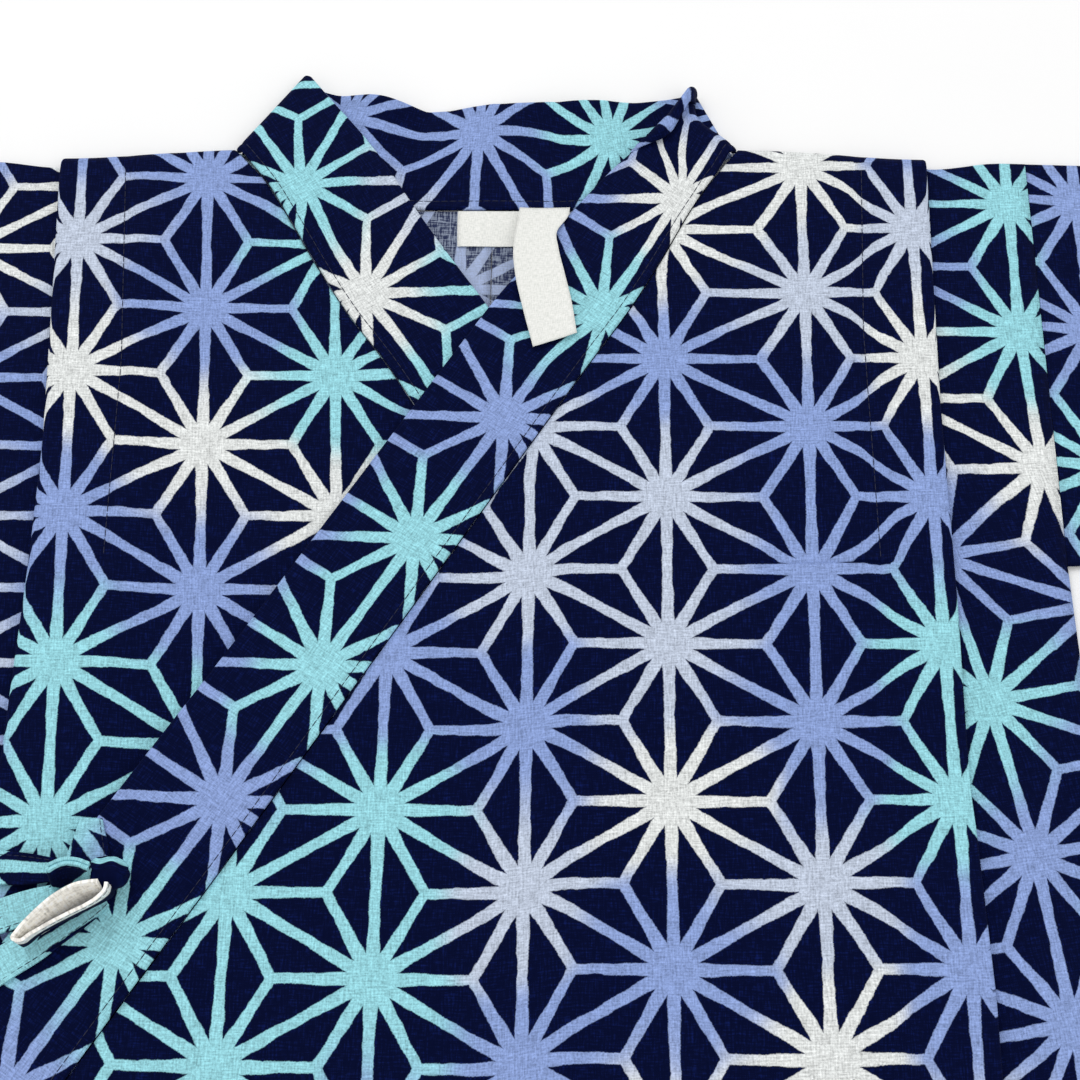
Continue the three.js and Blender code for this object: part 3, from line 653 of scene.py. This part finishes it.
def front(name):
    """One front: a pleated section at each height, carried over the shoulder fold."""
    row = FRONTS[name]
    half_turn = np.radians(np.linspace(90, -90, 9))
    columns = {"crown": 88, "layer": 8, "flank": 14}
    coarse_y = np.arange(-LENGTH, -5, 2.7)
    flat_y = np.unique(np.concatenate([coarse_y, TUCK_SEWN_TO + np.linspace(-3.2, 2.4, 14)]))
    turns = np.radians(np.linspace(0, 88, 9))

    def section(y, edge):
        fold, stitch, side = read_down(row["fold"], y), read_down(row["stitch"], y), side_x(y)
        crown_x = mix(edge, fold - TUCK_TURN, np.linspace(0, 1, columns["crown"]))
        outer_x = fold - TUCK_TURN * (1 - np.cos(half_turn[1:]))
        outer_z = TUCK_TOP_Z - TUCK_TURN * (1 - np.sin(half_turn[1:]))
        layer_x = mix(fold - TUCK_TURN, stitch + TUCK_TURN, np.linspace(0, 1, columns["layer"])[1:])
        layer_z = np.full(len(layer_x), TUCK_TOP_Z - LAYER)
        inner_x = stitch + TUCK_TURN * (1 - np.cos(half_turn[1:]))
        inner_z = TUCK_TOP_Z - LAYER - TUCK_TURN * (1 - np.sin(half_turn[1:]))
        share = np.linspace(0, 1, columns["flank"])[1:]
        flank_x = mix(stitch + TUCK_TURN, side, share)
        flank_z = mix(TUCK_TOP_Z - 2 * LAYER, OUTER_EDGE_Z, share)
        lip = 0.5 * math.exp(-(((y - CREASE_Y - 1) / 0.8) ** 2))
        crease = lip - 0.4 * math.exp(-(((y - CREASE_Y) / 0.4) ** 2))
        slack = front_slack(row, crown_x, y, edge) + row["crease"] * crease * beside_crease(crown_x)
        crown_z = row["height"](crown_x, y) + slack
        flank_z = flank_z + 0.25 * ripple(flank_x, y, row["seed"] + 2, 34) * np.sin(share * math.pi)
        x = np.concatenate([crown_x, outer_x, layer_x, inner_x, flank_x])
        z = np.concatenate([crown_z, outer_z, layer_z, inner_z, flank_z])
        return x, z

    def printed(x, y):
        """The print along a section; it is let slip where the pleat hides it."""
        mirror = row["way"]
        first, last = columns["crown"], len(x) - columns["flank"] + 1
        crown = row["crown_print"](mirror * x[:first], y[:first])
        flank = row["flank_print"](mirror * x[last:], y[last:])
        hidden = np.linspace(0, 1, last - first + 2)[1:-1, None]
        return np.concatenate([crown, mix(crown[-1], flank[0], hidden), flank])

    grid, prints = [], []
    for y in flat_y:
        x, z = section(y, float(edge_x(row["sections"], y)))
        rows = np.full(len(x), y)
        z = z + row["lift"] * over_band_end(x, rows)
        grid.append(np.stack([x, rows, z], 1))
        prints.append(printed(x, rows))
    top = flat_y[-1]
    neck_half = row["sections"][0, 0]
    neck_reach = float(row["height"](neck_half, top)) - ROLL_FOOT
    for turn in turns:
        neck_y = float(shoulder_y(neck_half)) - FOLD_INSET - neck_reach * (1 - math.sin(turn))
        x, z = section(top, float(edge_x(row["sections"], neck_y)))
        first, last = columns["crown"], len(x) - columns["flank"] + 1
        by_itself = np.concatenate([np.ones(first), np.zeros(last - first), 1 - tuck_fall(x[last:])])
        fold_y = shoulder_y(x) - (mix(TUCK_TOP_Z, z, by_itself) - ROLL_FOOT) - FOLD_INSET
        reach = z - ROLL_FOOT
        grid.append(np.stack([x, fold_y + reach * math.sin(turn), ROLL_FOOT + reach * math.cos(turn)], 1))
        prints.append(printed(x, fold_y + reach * turn))
    grid, prints = np.array(grid), np.array(prints)
    thickness = hemmed(grid[..., 1])
    sewn = grid[np.argmin(np.abs(flat_y + LENGTH - HEM_DEPTH + 1.5))] * (row["way"], 1, 1)
    parts = sewn[: columns["crown"]], sewn[-columns["flank"] + 4:]
    hem_routes = [part + (0, 0, HEM_CLOTH / 2) for part in parts]
    if row["way"] < 0:
        grid, prints, thickness = flipped(grid * (-1, 1, 1), prints, thickness)
    cloth(name, grid, prints, thickness, [FACE, WRONG], "printed_cotton", row["rests_on"])
    return hem_routes


def on_crown(row, x, y):
    """Where the middle of a stitch lies on a front's upper face."""
    x, y = np.broadcast_arrays(np.asarray(x, float), np.asarray(y, float))
    edge = edge_x(row["sections"], y)
    z = row["height"](x, y) + row["lift"] * over_band_end(x, y) + front_slack(row, x, y, edge)
    return np.stack([row["way"] * x, y, z + CLOTH / 2 + STITCH_RISE], -1)


# Collar

# Places across the band, closer together at its edges, its topstitching and its curl
BAND_ACROSS = np.array([
    0, 0.12, 0.35, 0.7, 1.2, 2.0, 2.6, 3.0, 3.4, 4.2, 6, 9, 12, 16, 20, 23, 25.5, 27, 28.3, 29.5, 30.6,
    31.6, 32.6, 33.6, 34.6, 35.6, 36.6, 37.4, 38.3, 38.8, 39.15, 39.38, 39.5,
])
BAND_STITCH = 3.0
EDGE_ROLL = 2.1
ROLLED_WIDTH = 35
UNBENT_FROM = -20


def band_thickness(rows):
    """Rounded at both edges, thicker over the turnings, and drawn in where it is topstitched."""
    w = BAND_ACROSS
    near = np.minimum(w, BAND_WIDTH - w)
    round_off = np.sqrt(1 - (1 - np.clip(near / 0.9, 0, 1)) ** 2)
    body = BAND_CLOTH + 0.15 * (1 - ease(8, 12, w)) - 0.45 * np.exp(-(((w - BAND_STITCH) / 0.55) ** 2))
    return np.tile(np.maximum(body * round_off, 0.12), (rows, 1))


def left_band_print(place, across):
    down = (place - 34.7) / 50.7
    line = 11.5 - 5.0 * ease(12, -16, place)
    return np.stack([-(across - line) / PITCH, down + 0 * across], -1)


def right_band_print(place, across):
    down = (place + 25) / np.where(place < -25, 48, 52.5)
    line = 9.0 + 1.6 * ease(-45, -68, place)
    return np.stack([(across - line) / PITCH, down + 0 * across], -1)


# unbent lets the print run straight on past the bend beside the neck
BANDS = {
    "collar_left": {
        "sections": LEFT_SECTIONS, "places": LEFT_PLACES, "panel": left_front_z, "dip": LEFT_BAND_DIP,
        "way": 1, "seed": 31, "roll": 1.0, "hollow": 5.0, "unbent": False,
        "print": left_band_print, "stars": LEFT_BAND_STARS, "rests_on": ["front_left", "collar_back"],
    },
    "collar_right": {
        "sections": RIGHT_SECTIONS, "places": RIGHT_PLACES, "panel": right_front_z, "dip": 0,
        "way": -1, "seed": 37, "roll": 0.0, "hollow": 0.0, "unbent": True,
        "print": right_band_print, "stars": RIGHT_BAND_STARS, "rests_on": ["front_right", "collar_back"],
    },
}


def curled(width, amount):
    """How far out and how far up the places across a band come, where its free edge curls by an amount."""
    radius = max(EDGE_ROLL * amount, 0.001)
    course = BAND_ACROSS / BAND_WIDTH * mix(width, ROLLED_WIDTH, amount)
    flat = width - radius
    angle = np.maximum(course - flat, 0) / radius
    return np.minimum(course, flat) + radius * np.sin(angle), radius * (1 - np.cos(angle))


def front_band(name):
    """One half of the collar in front, turned over beside the neck; returns the route of its topstitching."""
    row = BANDS[name]
    seam, free, places = row["sections"][:, :2], row["sections"][:, 2:], row["places"]
    keep = seam[:, 1] < -3
    last_bent = int(np.argmax(seam[:, 1] < UNBENT_FROM))
    aside = unit(free[last_bent] - seam[last_bent])
    upward = np.array([aside[1], -aside[0]])
    grid, prints = [], []

    def across_band(seam_at, free_at, amount):
        width = np.linalg.norm(free_at - seam_at)
        towards = unit(free_at - seam_at)
        out, up = curled(width, amount)
        bow = np.sin(math.pi * np.clip(out / width, 0, 1) ** 1.6)
        hollow = row["hollow"] * ease(-16, 2, seam_at[1]) * bow
        return seam_at + out[:, None] * towards - hollow[:, None] * (towards[1], -towards[0]), up

    def printed(seam_at, free_at, place):
        """The print across the band; beyond its bend it runs straight on, though the sections fan out."""
        if place > places[last_bent] or not row["unbent"]:
            return row["print"](place + 0 * BAND_ACROSS, BAND_ACROSS)
        towards = unit(free_at - seam_at)
        reach = seam_at + BAND_ACROSS[:, None] * towards - seam[last_bent]
        return row["print"](places[last_bent] - reach @ upward, reach @ aside)

    for seam_at, free_at, place in zip(seam[keep][::-1], free[keep][::-1], places[keep][::-1]):
        sy = seam_at[1]
        plan, up = across_band(seam_at, free_at, row["roll"] * float(ease(-19, -7, sy)))
        share = np.linalg.norm(plan - seam_at, axis=1) / np.linalg.norm(free_at - seam_at)
        beside_opening = ease(-76, -55, sy) * ease(-20, -41, sy)
        on_panel = row["panel"](plan[:, 0], plan[:, 1]) + 0.5
        z = mix(on_panel, COLLAR_FOLD_Z, ease(-62, 4, sy)) - row["dip"] * share * beside_opening
        z = z + 0.2 * ripple(plan[:, 0], plan[:, 1], row["seed"], 40) * np.sin(share * math.pi)
        grid.append(np.concatenate([plan, (z + up)[:, None]], 1))
        prints.append(printed(seam_at, free_at, place))
    flat_rows = len(grid)
    fold_line = unit(free[0] - seam[0])
    outward = np.array([fold_line[1], -fold_line[0]])
    radius = COLLAR_FOLD_Z - BAND_FOOT
    plan, up = across_band(seam[0], free[0], row["roll"])
    at_fold = printed(seam[0], free[0], places[0])
    past_fold = printed(seam[0] - outward, free[0] - outward, places[0] + 1) - at_fold
    for turn in np.radians(np.linspace(0, 88, 9)):
        inset = radius * (math.sin(turn) - 1) - 1.0
        height = BAND_FOOT + (radius + up) * math.cos(turn)
        grid.append(np.concatenate([plan + outward * inset, height[:, None]], 1))
        prints.append(at_fold + past_fold * (3.5 - radius * turn))
    grid, prints = np.array(grid), np.array(prints)
    thickness = band_thickness(len(grid))
    route = grid[: flat_rows + 2, int(np.argmin(np.abs(BAND_ACROSS - BAND_STITCH)))] * (row["way"], 1, 1)
    if row["way"] < 0:
        grid = grid * (-1, 1, 1)
    else:
        grid, prints, thickness = flipped(grid, prints, thickness)
    cloth(name, grid, prints, thickness, [FACE, FACE], "collar_cotton", row["rests_on"], "folded",
          row["stars"])
    return route + (0, 0, BAND_CLOTH / 2 - 0.1)


def neck_seam_y(x):
    return mix(BACK_NECK, NECK_SEAM_TOP, ease(BACK_NECK_LEVEL, NECK_HALF + 6, np.abs(x)) ** 1.15)


def back_band():
    """The back of the collar, which shows its inner half, with two soft waves in its free edge."""
    grid, prints = [], []
    across = BAND_ACROSS / BAND_WIDTH
    for share in np.linspace(-1, 1, 96):
        peak, seam_top = (RIGHT_PEAK, RIGHT_NECK_SEAM[0]) if share < 0 else (LEFT_PEAK, LEFT_NECK_SEAM[0])
        seam_x, free_x = share * (seam_top[0] - 2), share * (peak[0] - 1)
        free_y = read_down(BACK_COLLAR_EDGE, free_x)
        lift = sum(rise * max(0.0, 1 - ((free_x - x) / half) ** 2) ** 2 for x, half, rise in COLLAR_WAVES)
        x, y = mix(seam_x, free_x, across), mix(neck_seam_y(seam_x), free_y, across)
        grid.append(np.stack([x, y, 1 + lift * across ** 2], 1))
        place = free_x + 4.6
        down = np.full(len(x), place / (42.3 if place < 0 else 42.8))
        line = 11 + 0.6 * ease(-10, -38, place) + 4.6 * ease(10, 38, place)
        prints.append(np.stack([(BAND_WIDTH * (1 - across) - line) / PITCH, down], -1))
    grid, prints = np.array(grid), np.array(prints)
    thickness = band_thickness(len(grid))
    cloth("collar_back", grid[::-1], prints[::-1], thickness, [FACE, FACE], "collar_cotton",
          ["back_left", "back_right"], "folded", BACK_BAND_STARS)
    column = int(np.argmin(np.abs(BAND_ACROSS - BAND_STITCH)))
    return grid[:, column] + (0, 0, BAND_CLOTH / 2 - 0.1)


def back_half(name, way):
    """One half of the back, with its face down; its wrong side shows inside the neck."""
    down = np.linspace(0, 1, 130)
    neck_half = (LEFT_NECK_SEAM if way > 0 else RIGHT_NECK_SEAM)[0, 0]
    grid, prints = [], []
    for share_x in np.linspace(0, 1, 52):
        x_top = mix(SEAM_GAP / 2, SHOULDER_HALF - SEAM_GAP / 2, share_x)
        fall = (TUCK_TOP_Z - OUTER_EDGE_Z) * tuck_fall(x_top) * (x_top > TUCK_FOLD)
        shoulder = shoulder_y(x_top) - SHOULDER_INSET - fall
        top = np.where(x_top < neck_half - 2, neck_seam_y(x_top) - SEAM_GAP * 1.3, shoulder)
        y = mix(float(top), -LENGTH, down)
        x = np.maximum(x_top * side_x(y) / SHOULDER_HALF, SEAM_GAP / 2)
        grid.append(np.stack([way * x, y, BACK_Z + 0 * x], 1))
        prints.append(np.stack([way * x / PITCH + 0.2, -y / PITCH], -1))
    grid, prints = np.array(grid), np.array(prints)
    if way < 0:
        grid, prints = grid[::-1], prints[::-1]
    cloth(name, grid, prints, hemmed(grid[..., 1]), [WRONG, FACE], "printed_cotton", ["floor"])


# Where a cuff's hem begins and is stitched, as shares of the sleeve's length
CUFF_HEM = 0.84, 0.86
CUFF_STITCH = 0.87


def sleeve(name, way):
    """One sleeve: a tube pressed flat at the body, standing a little open at its hemmed cuff.
    It returns the route of the cuff's stitching on the upper side."""
    low, turn = BACK_Z, (OUTER_EDGE_Z - BACK_Z) / 2
    start = SHOULDER_HALF + SEAM_GAP / 2
    grid, prints, thickness = [], [], []
    for share in np.linspace(0, 1, 46):
        x = start + share * SLEEVE_LENGTH
        top = float(shoulder_y(x)) - FOLD_INSET
        bottom = mix(-ARMHOLE, float(shoulder_y(x)) - CUFF_DEPTH, share) + FOLD_INSET
        rise = CUFF_RISE * float(ease(0, 0.95, share))

        def end(centre, first):
            angle = np.radians(first + np.linspace(0, 180, 9)[:-1])
            return np.stack([centre + turn * np.cos(angle), low + turn + turn * np.sin(angle)], 1)

        under = np.linspace(bottom + turn, top - turn, 30)[:-1]
        over = np.linspace(top - turn, bottom + turn, 44)[:-1]
        span = top - bottom - 2 * turn
        arch = np.sin(math.pi * np.clip((over - bottom - turn) / span, 0, 1)) ** 0.8
        crease = 0.5 * ripple(x, over, 41 + way, 46) * arch * share
        over_z = OUTER_EDGE_Z + rise * arch + crease
        ring = np.concatenate([
            np.stack([under, np.full(len(under), low)], 1),
            end(top - turn, -90),
            np.stack([over, over_z], 1),
            end(bottom + turn, 90),
        ])
        ring = np.concatenate([ring, ring[:1]])
        run = run_of(ring)
        grid.append(np.stack([np.full(len(ring), way * x), ring[:, 0], ring[:, 1]], 1))
        prints.append(np.stack([np.full(len(ring), way * x / PITCH + 0.34), run / PITCH + 0.2], -1))
        thickness.append(np.full(len(ring), mix(CLOTH, HEM_CLOTH, float(ease(*CUFF_HEM, share)))))
    grid, prints, thickness = np.array(grid), np.array(prints), np.array(thickness)
    first = len(under) + 8
    cuff = grid[int(CUFF_STITCH * len(grid)), first: first + len(over)] + (0, 0, HEM_CLOTH / 2)
    if way < 0:
        grid, prints, thickness = flipped(grid, prints, thickness)
    cloth(name, grid, prints, thickness, [FACE, WRONG], "printed_cotton", ["floor"], ring=True)
    return cuff


# Ties

KNOT = np.array([-106, -252.9, 12.5])
KNOT_DEPTH = 0.8
KNOT_CLOTH = 0.3
LOOP_FLOOR = 9.9
LOOP_ROWS, LOOP_NEAR_SIDE = 90, 55
ON_BAND_Z = 8.9
ON_TUCK_Z = 6.6
ON_FLANK_Z = 3.6

# The middle of each loop's width as x and y, and how far its upper edge leans out in x and y for each
# millimetre that it rises; line is where the print's line runs along the tie, above its middle, star is
# how far along the tie its star lies, and stretch and narrowed are the print's scale along and across it
LOOPS = {
    "bow_loop_left": {
        "rows": [(x, y, 0, 0.4) for x, y in [
            (-110.0, -253.7), (-113.6, -252.5), (-117.6, -252.4), (-120.4, -253.5), (-122.0, -254.6),
            (-121.6, -255.5), (-120.0, -254.7), (-117.4, -253.6), (-113.8, -253.7), (-110.2, -254.9),
        ]],
        "line": 6.2, "star": 30.0, "stretch": 2.0, "narrowed": 1,
        "stars": TIE_STARS, "rests_on": ["tie_end_left", "tie_side"],
    },
    "bow_loop_lower": {
        "rows": [
            (-106.6, -257.9, -0.05, 0.2), (-109.6, -258.6, -0.1, 0.3), (-112.3, -259.4, -0.25, 0.35),
            (-115.6, -261.2, -0.3, 0.36), (-118.9, -263.6, -0.33, 0.36), (-121.6, -266.1, -0.3, 0.34),
            (-124.6, -268.9, -0.25, 0.2), (-127.6, -271.7, -0.12, 0.05), (-129.0, -273.8, -0.05, 0),
            (-127.6, -273.8, 0, -0.1), (-124.4, -271.4, 0, -0.2), (-119.2, -268.2, 0, -0.2),
            (-113.6, -265.1, 0, -0.2), (-109.4, -262.9, 0, -0.2), (-106.4, -261.0, 0, -0.15),
            (-104.5, -259.0, 0, -0.05), (-104.3, -257.4, 0, 0),
        ],
        "line": 4.2, "star": 8.0, "stretch": 0.55, "narrowed": 0.5,
        "stars": WHITE_TIE_STARS, "rests_on": ["tie_end_lower", "collar_left"],
    },
}

# The middle of each flat tie as x, y and z, and its width; star is where its star lies, across and along
FLAT_TIES = {
    "tie_front": {
        "rows": [(x, y, ON_BAND_Z, width) for x, y, width in [
            (-113.3, -235.7, 6.4), (-113.3, -239.0, 8.2), (-113.2, -242.5, 10.2), (-113.1, -245.9, 12.1),
            (-113.0, -248.9, 12.5),
        ]],
        "star": (-7.0, -1.5), "narrowed": 0.75, "drift": (0.2, 0), "rests_on": ["collar_left"],
    },
    "tie_side": {
        "rows": [
            (-185.5, -250.5, ON_FLANK_Z, TIE_WIDTH), (-172.0, -250.0, ON_FLANK_Z, TIE_WIDTH),
            (-159.0, -249.8, ON_FLANK_Z + 0.4, TIE_WIDTH), (-150.5, -249.8, ON_TUCK_Z, TIE_WIDTH),
            (-138.0, -250.2, ON_TUCK_Z, TIE_WIDTH), (-129.5, -250.9, ON_BAND_Z - 0.6, 9),
            (-123.5, -251.2, ON_BAND_Z, 7), (-117.6, -251.7, ON_BAND_Z, 4.5),
        ],
        "star": (1.0, 38.0), "rests_on": ["front_right", "collar_left"],
    },
    "tie_end_left": {
        "rows": [
            (-111.6, -256.0, ON_BAND_Z, 4), (-117.0, -257.9, ON_BAND_Z, 6), (-122.0, -259.6, ON_BAND_Z, 8),
            (-128.0, -261.8, ON_BAND_Z, 9.5), (-138.0, -265.4, ON_BAND_Z, TIE_WIDTH),
            (-150.5, -270.0, ON_TUCK_Z, TIE_WIDTH), (-159.0, -273.3, ON_FLANK_Z + 0.4, TIE_WIDTH),
            (-168.0, -278.0, ON_FLANK_Z, TIE_WIDTH), (-177.0, -284.0, ON_FLANK_Z, TIE_WIDTH),
        ],
        "star": (-1.0, 19.5), "rests_on": ["collar_left", "front_right"],
    },
    "tie_end_lower": {
        "rows": [(x, y, ON_BAND_Z, width) for x, y, width in [
            (-107.0, -259.6, 4.5), (-110.6, -262.6, 6), (-115.0, -265.6, 7.5), (-120.0, -269.0, 8.5),
            (-126.5, -273.4, TIE_WIDTH), (-133.5, -278.2, TIE_WIDTH), (-141.0, -283.4, TIE_WIDTH),
        ]],
        "star": (2.0, 30.0), "rests_on": ["collar_left"],
    },
}


def resampled(rows, count, places=3):
    """Rows of numbers spread evenly along the course of their first columns, on a smooth curve."""
    rows = np.asarray(rows, float)
    run = run_of(rows[:, :places])
    slope = np.gradient(rows, run, axis=0)
    spread = np.linspace(0, run[-1], count)
    k = np.clip(np.searchsorted(run, spread, side="right") - 1, 0, len(run) - 2)
    width = (run[k + 1] - run[k])[:, None]
    t = (spread[:, None] - run[k][:, None]) / width
    a, b = rows[k], rows[k + 1]
    return (
        (2 * t ** 3 - 3 * t ** 2 + 1) * a + (t ** 3 - 2 * t ** 2 + t) * width * slope[k]
        + (3 * t ** 2 - 2 * t ** 3) * b + (t ** 3 - t ** 2) * width * slope[k + 1]
    )


def tie_across(width, count=9):
    """Places across a tie, from one edge to the other, closer together at its edges."""
    return np.sin(np.linspace(-math.pi / 2, math.pi / 2, count)) * width / 2


def heading(course):
    """The way that a course runs on the floor at each of its points."""
    return unit(np.gradient(course[:, :2], axis=0))


def flat_tie(name):
    """A tie that lies flat; returns the route of the stitching along one edge."""
    row = FLAT_TIES[name]
    course = resampled(row["rows"], 60)
    grid, prints = [], []
    for (x, y, z, width), (ahead_x, ahead_y), run in zip(course, heading(course), run_of(course[:, :3])):
        w = tie_across(width)
        sag = 0.2 * ripple(run, w, 7, 16) + 0.25 * np.abs(w / (width / 2)) ** 3 * ripple(run, 0 * w, 9, 12)
        grid.append(np.stack([x - ahead_y * w, y + ahead_x * w, z + sag], 1))
        across = row.get("narrowed", 1) * (w - row["star"][0])
        prints.append(np.stack([across, np.full(len(w), run - row["star"][1])], -1) / PITCH)
    grid, prints = flipped(np.array(grid), np.array(prints))
    cloth(name, grid, prints, TIE_CLOTH, [FACE, FACE], "tie_cotton", row["rests_on"], "folded", TIE_STARS,
          drift=row.get("drift", (0, 0)))
    return mix(grid[:, 0], grid[:, -1], 0.12) + (0, 0, TIE_CLOTH / 2)


def bow_loop(name):
    """A loop that stands on its edge; returns the route of the stitching outside its nearer side."""
    row = LOOPS[name]
    course = resampled(row["rows"], LOOP_ROWS, places=2)
    runs = run_of(course[:, :2])
    grid, prints, stitched = [], [], []
    for (x, y, lean_x, lean_y), (ahead_x, ahead_y), run in zip(course, heading(course), runs):
        steep = math.sqrt(lean_x ** 2 + lean_y ** 2 + 1)
        middle = np.array([x, y, LOOP_FLOOR + 0.6 + TIE_WIDTH / 2 / steep])
        upward = np.array([lean_x, lean_y, 1]) / steep
        w = tie_across(TIE_WIDTH)
        grid.append(middle + upward * w[:, None])
        along = row["stretch"] * (run - row["star"])
        prints.append(np.stack([row["narrowed"] * (w - row["line"]), np.full(len(w), along)], -1) / PITCH)
        stitched.append(middle + upward * 3.4 + np.array([ahead_y, -ahead_x, 0]) * TIE_CLOTH / 2)
    cloth(name, np.array(grid), np.array(prints), TIE_CLOTH, [FACE, FACE], "tie_cotton", row["rests_on"],
          "folded", row["stars"])
    return np.array(stitched[LOOP_NEAR_SIDE:])


def bow_knot():
    """The knot: a pebble with the tie's wraps pressed into it, and one line of the print across its top."""
    profile = [(0.05, -4.1), (3.7, -4.1), (5.5, -2.9), (6.3, -0.4), (5.7, 2.2), (3.5, 3.8), (0.05, 4.3)]
    reach, height = resampled(profile, 30, places=2).T
    grid, prints = [], []
    for angle in np.linspace(0, 2 * math.pi, 65):
        groove = 1 - 0.1 * np.cos(1.5 * angle + 0.5 * height) ** 8
        groove = groove - 0.05 * np.cos(4 * angle - 0.6 * height) ** 6
        x, y = reach * groove * math.cos(angle), reach * groove * math.sin(angle) * KNOT_DEPTH
        grid.append(KNOT + np.stack([x, y, height], 1))
        line = 3.3 + 0.5 * np.sin(0.9 * x)
        prints.append(np.stack([np.maximum((y - line) * 1.7, -7) / PITCH, 0.5 + 0.2 * x / PITCH], -1))
    grid, prints = np.array(grid).transpose(1, 0, 2), np.array(prints).transpose(1, 0, 2)
    cloth("bow_knot", grid, prints, KNOT_CLOTH, [FACE, FACE], "tie_cotton", ["collar_left"], "folded",
          TIE_STARS, ring=True)


# Labels: left x, right x, y and z down the tape

BRAND_LABEL = [(-12.0, 12.8, -18.6, 1.3), (-12.0, 12.8, -25.5, 1.5), (-11.8, 12.9, -32.8, 1.35)]
CARE_LABEL = [
    (9.2, 26.4, -18.6, 3.4), (9.0, 26.0, -22.0, 4.1), (8.0, 22.0, -29.5, 4.9), (7.4, 22.6, -36.0, 5.4),
    (8.4, 24.8, -47.0, 6.2), (10.8, 27.0, -58.0, 6.9), (14.6, 29.0, -72.3, 7.0),
]
CARE_END_SKEW = 5.4


def label(name, rows, skew, curl, seed):
    rows = resampled([(a, y, z, b) for a, b, y, z in rows], 48)
    grid, prints = [], []
    for k, (left, y, z, right) in enumerate(rows):
        t = np.linspace(0, 1, 13)
        part = k / (len(rows) - 1)
        x = mix(left, right, t)
        z_row = z + curl * (2 * t - 1) ** 2 + 0.1 * ripple(x, y, seed, 15)
        grid.append(np.stack([x, y + skew * part ** 2 * (t - 0.5), z_row], 1))
        prints.append(np.stack([x / PITCH, np.full(len(t), y / PITCH)], -1))
    grid, prints = np.array(grid)[::-1], np.array(prints)[::-1]
    cloth(name, grid, prints, LABEL_CLOTH, [TAPE, TAPE], "label_cloth", ["back_left", "back_right"])


# Scene


def camera():
    lens = bpy.data.cameras.new("camera")
    lens.sensor_width, lens.lens = SENSOR, FOCAL_PIXELS / PHOTO_SIDE * SENSOR
    lens.clip_start, lens.clip_end = 0.01, 20
    back = Vector((math.sin(TURN) * math.sin(TILT), -math.cos(TURN) * math.sin(TILT), math.cos(TILT)))
    right = Vector((math.cos(TURN), math.sin(TURN), 0))
    up = back.cross(right)
    rolled_right = math.cos(ROLL) * right - math.sin(ROLL) * up
    rolled_up = math.sin(ROLL) * right + math.cos(ROLL) * up
    view = linked("camera", lens)
    place = Vector(site(np.array(AIM) + CAMERA_DISTANCE * np.array(back)))
    turned = Matrix((rolled_right, rolled_up, back)).transposed().to_4x4()
    view.matrix_world = Matrix.Translation(place) @ turned
    bpy.context.scene.camera = view


def floor():
    bpy.ops.mesh.primitive_plane_add(size=6, location=(0, 0, -0.0004))
    plane = bpy.context.object
    plane.name = "floor"
    plane.data.materials.append(floor_paper())


def area_light(name, place, aim, size, watts):
    data = bpy.data.lights.new(name, "AREA")
    data.shape, data.size, data.size_y, data.energy = "RECTANGLE", size[0], size[1], watts
    lamp = linked(name, data)
    lamp.location = place
    lamp.rotation_euler = (Vector(aim) - Vector(place)).to_track_quat("-Z", "Y").to_euler()


def lights():
    world = bpy.data.worlds.new("studio")
    bpy.context.scene.world = world
    world.use_nodes = True
    sky = world.node_tree.nodes["Background"].inputs
    sky["Color"].default_value = (1, 1, 1, 1)
    sky["Strength"].default_value = 0.78
    area_light("key", (-0.7, 1.1, 1.9), (0, 0.1, 0), (1.2, 0.9), 14)
    area_light("fill", (1.2, -0.9, 1.6), (0, 0, 0), (1.5, 1.2), 6)
    bpy.context.scene.view_settings.view_transform = "Standard"


def build():
    hems = [route for name in FRONTS for route in front(name)]
    back_half("back_left", 1)
    back_half("back_right", -1)
    cuffs = [sleeve("sleeve_left", 1), sleeve("sleeve_right", -1)]
    seams = [front_band(name) for name in BANDS] + [back_band()]
    tie_edges = [flat_tie(name) for name in FLAT_TIES]
    loop_edges = [bow_loop(name) for name in LOOPS]
    bow_knot()
    label("label_brand", BRAND_LABEL, 0, 0.05, 3)
    label("label_care", CARE_LABEL, CARE_END_SKEW, 0.35, 5)
    stitches("collar_stitches", seams)
    sewn = np.arange(TUCK_SEWN_TO, -4, 1.5)
    tucks = [on_crown(row, read_down(row["stitch"], sewn), sewn) for row in FRONTS.values()]
    stitches("tuck_stitches", tucks)
    stitches("hem_stitches", hems + cuffs)
    stitches("tie_stitches", tie_edges + loop_edges, pitch=2.4, length=1.9, radius=0.12)


camera()
lights()
floor()
build()
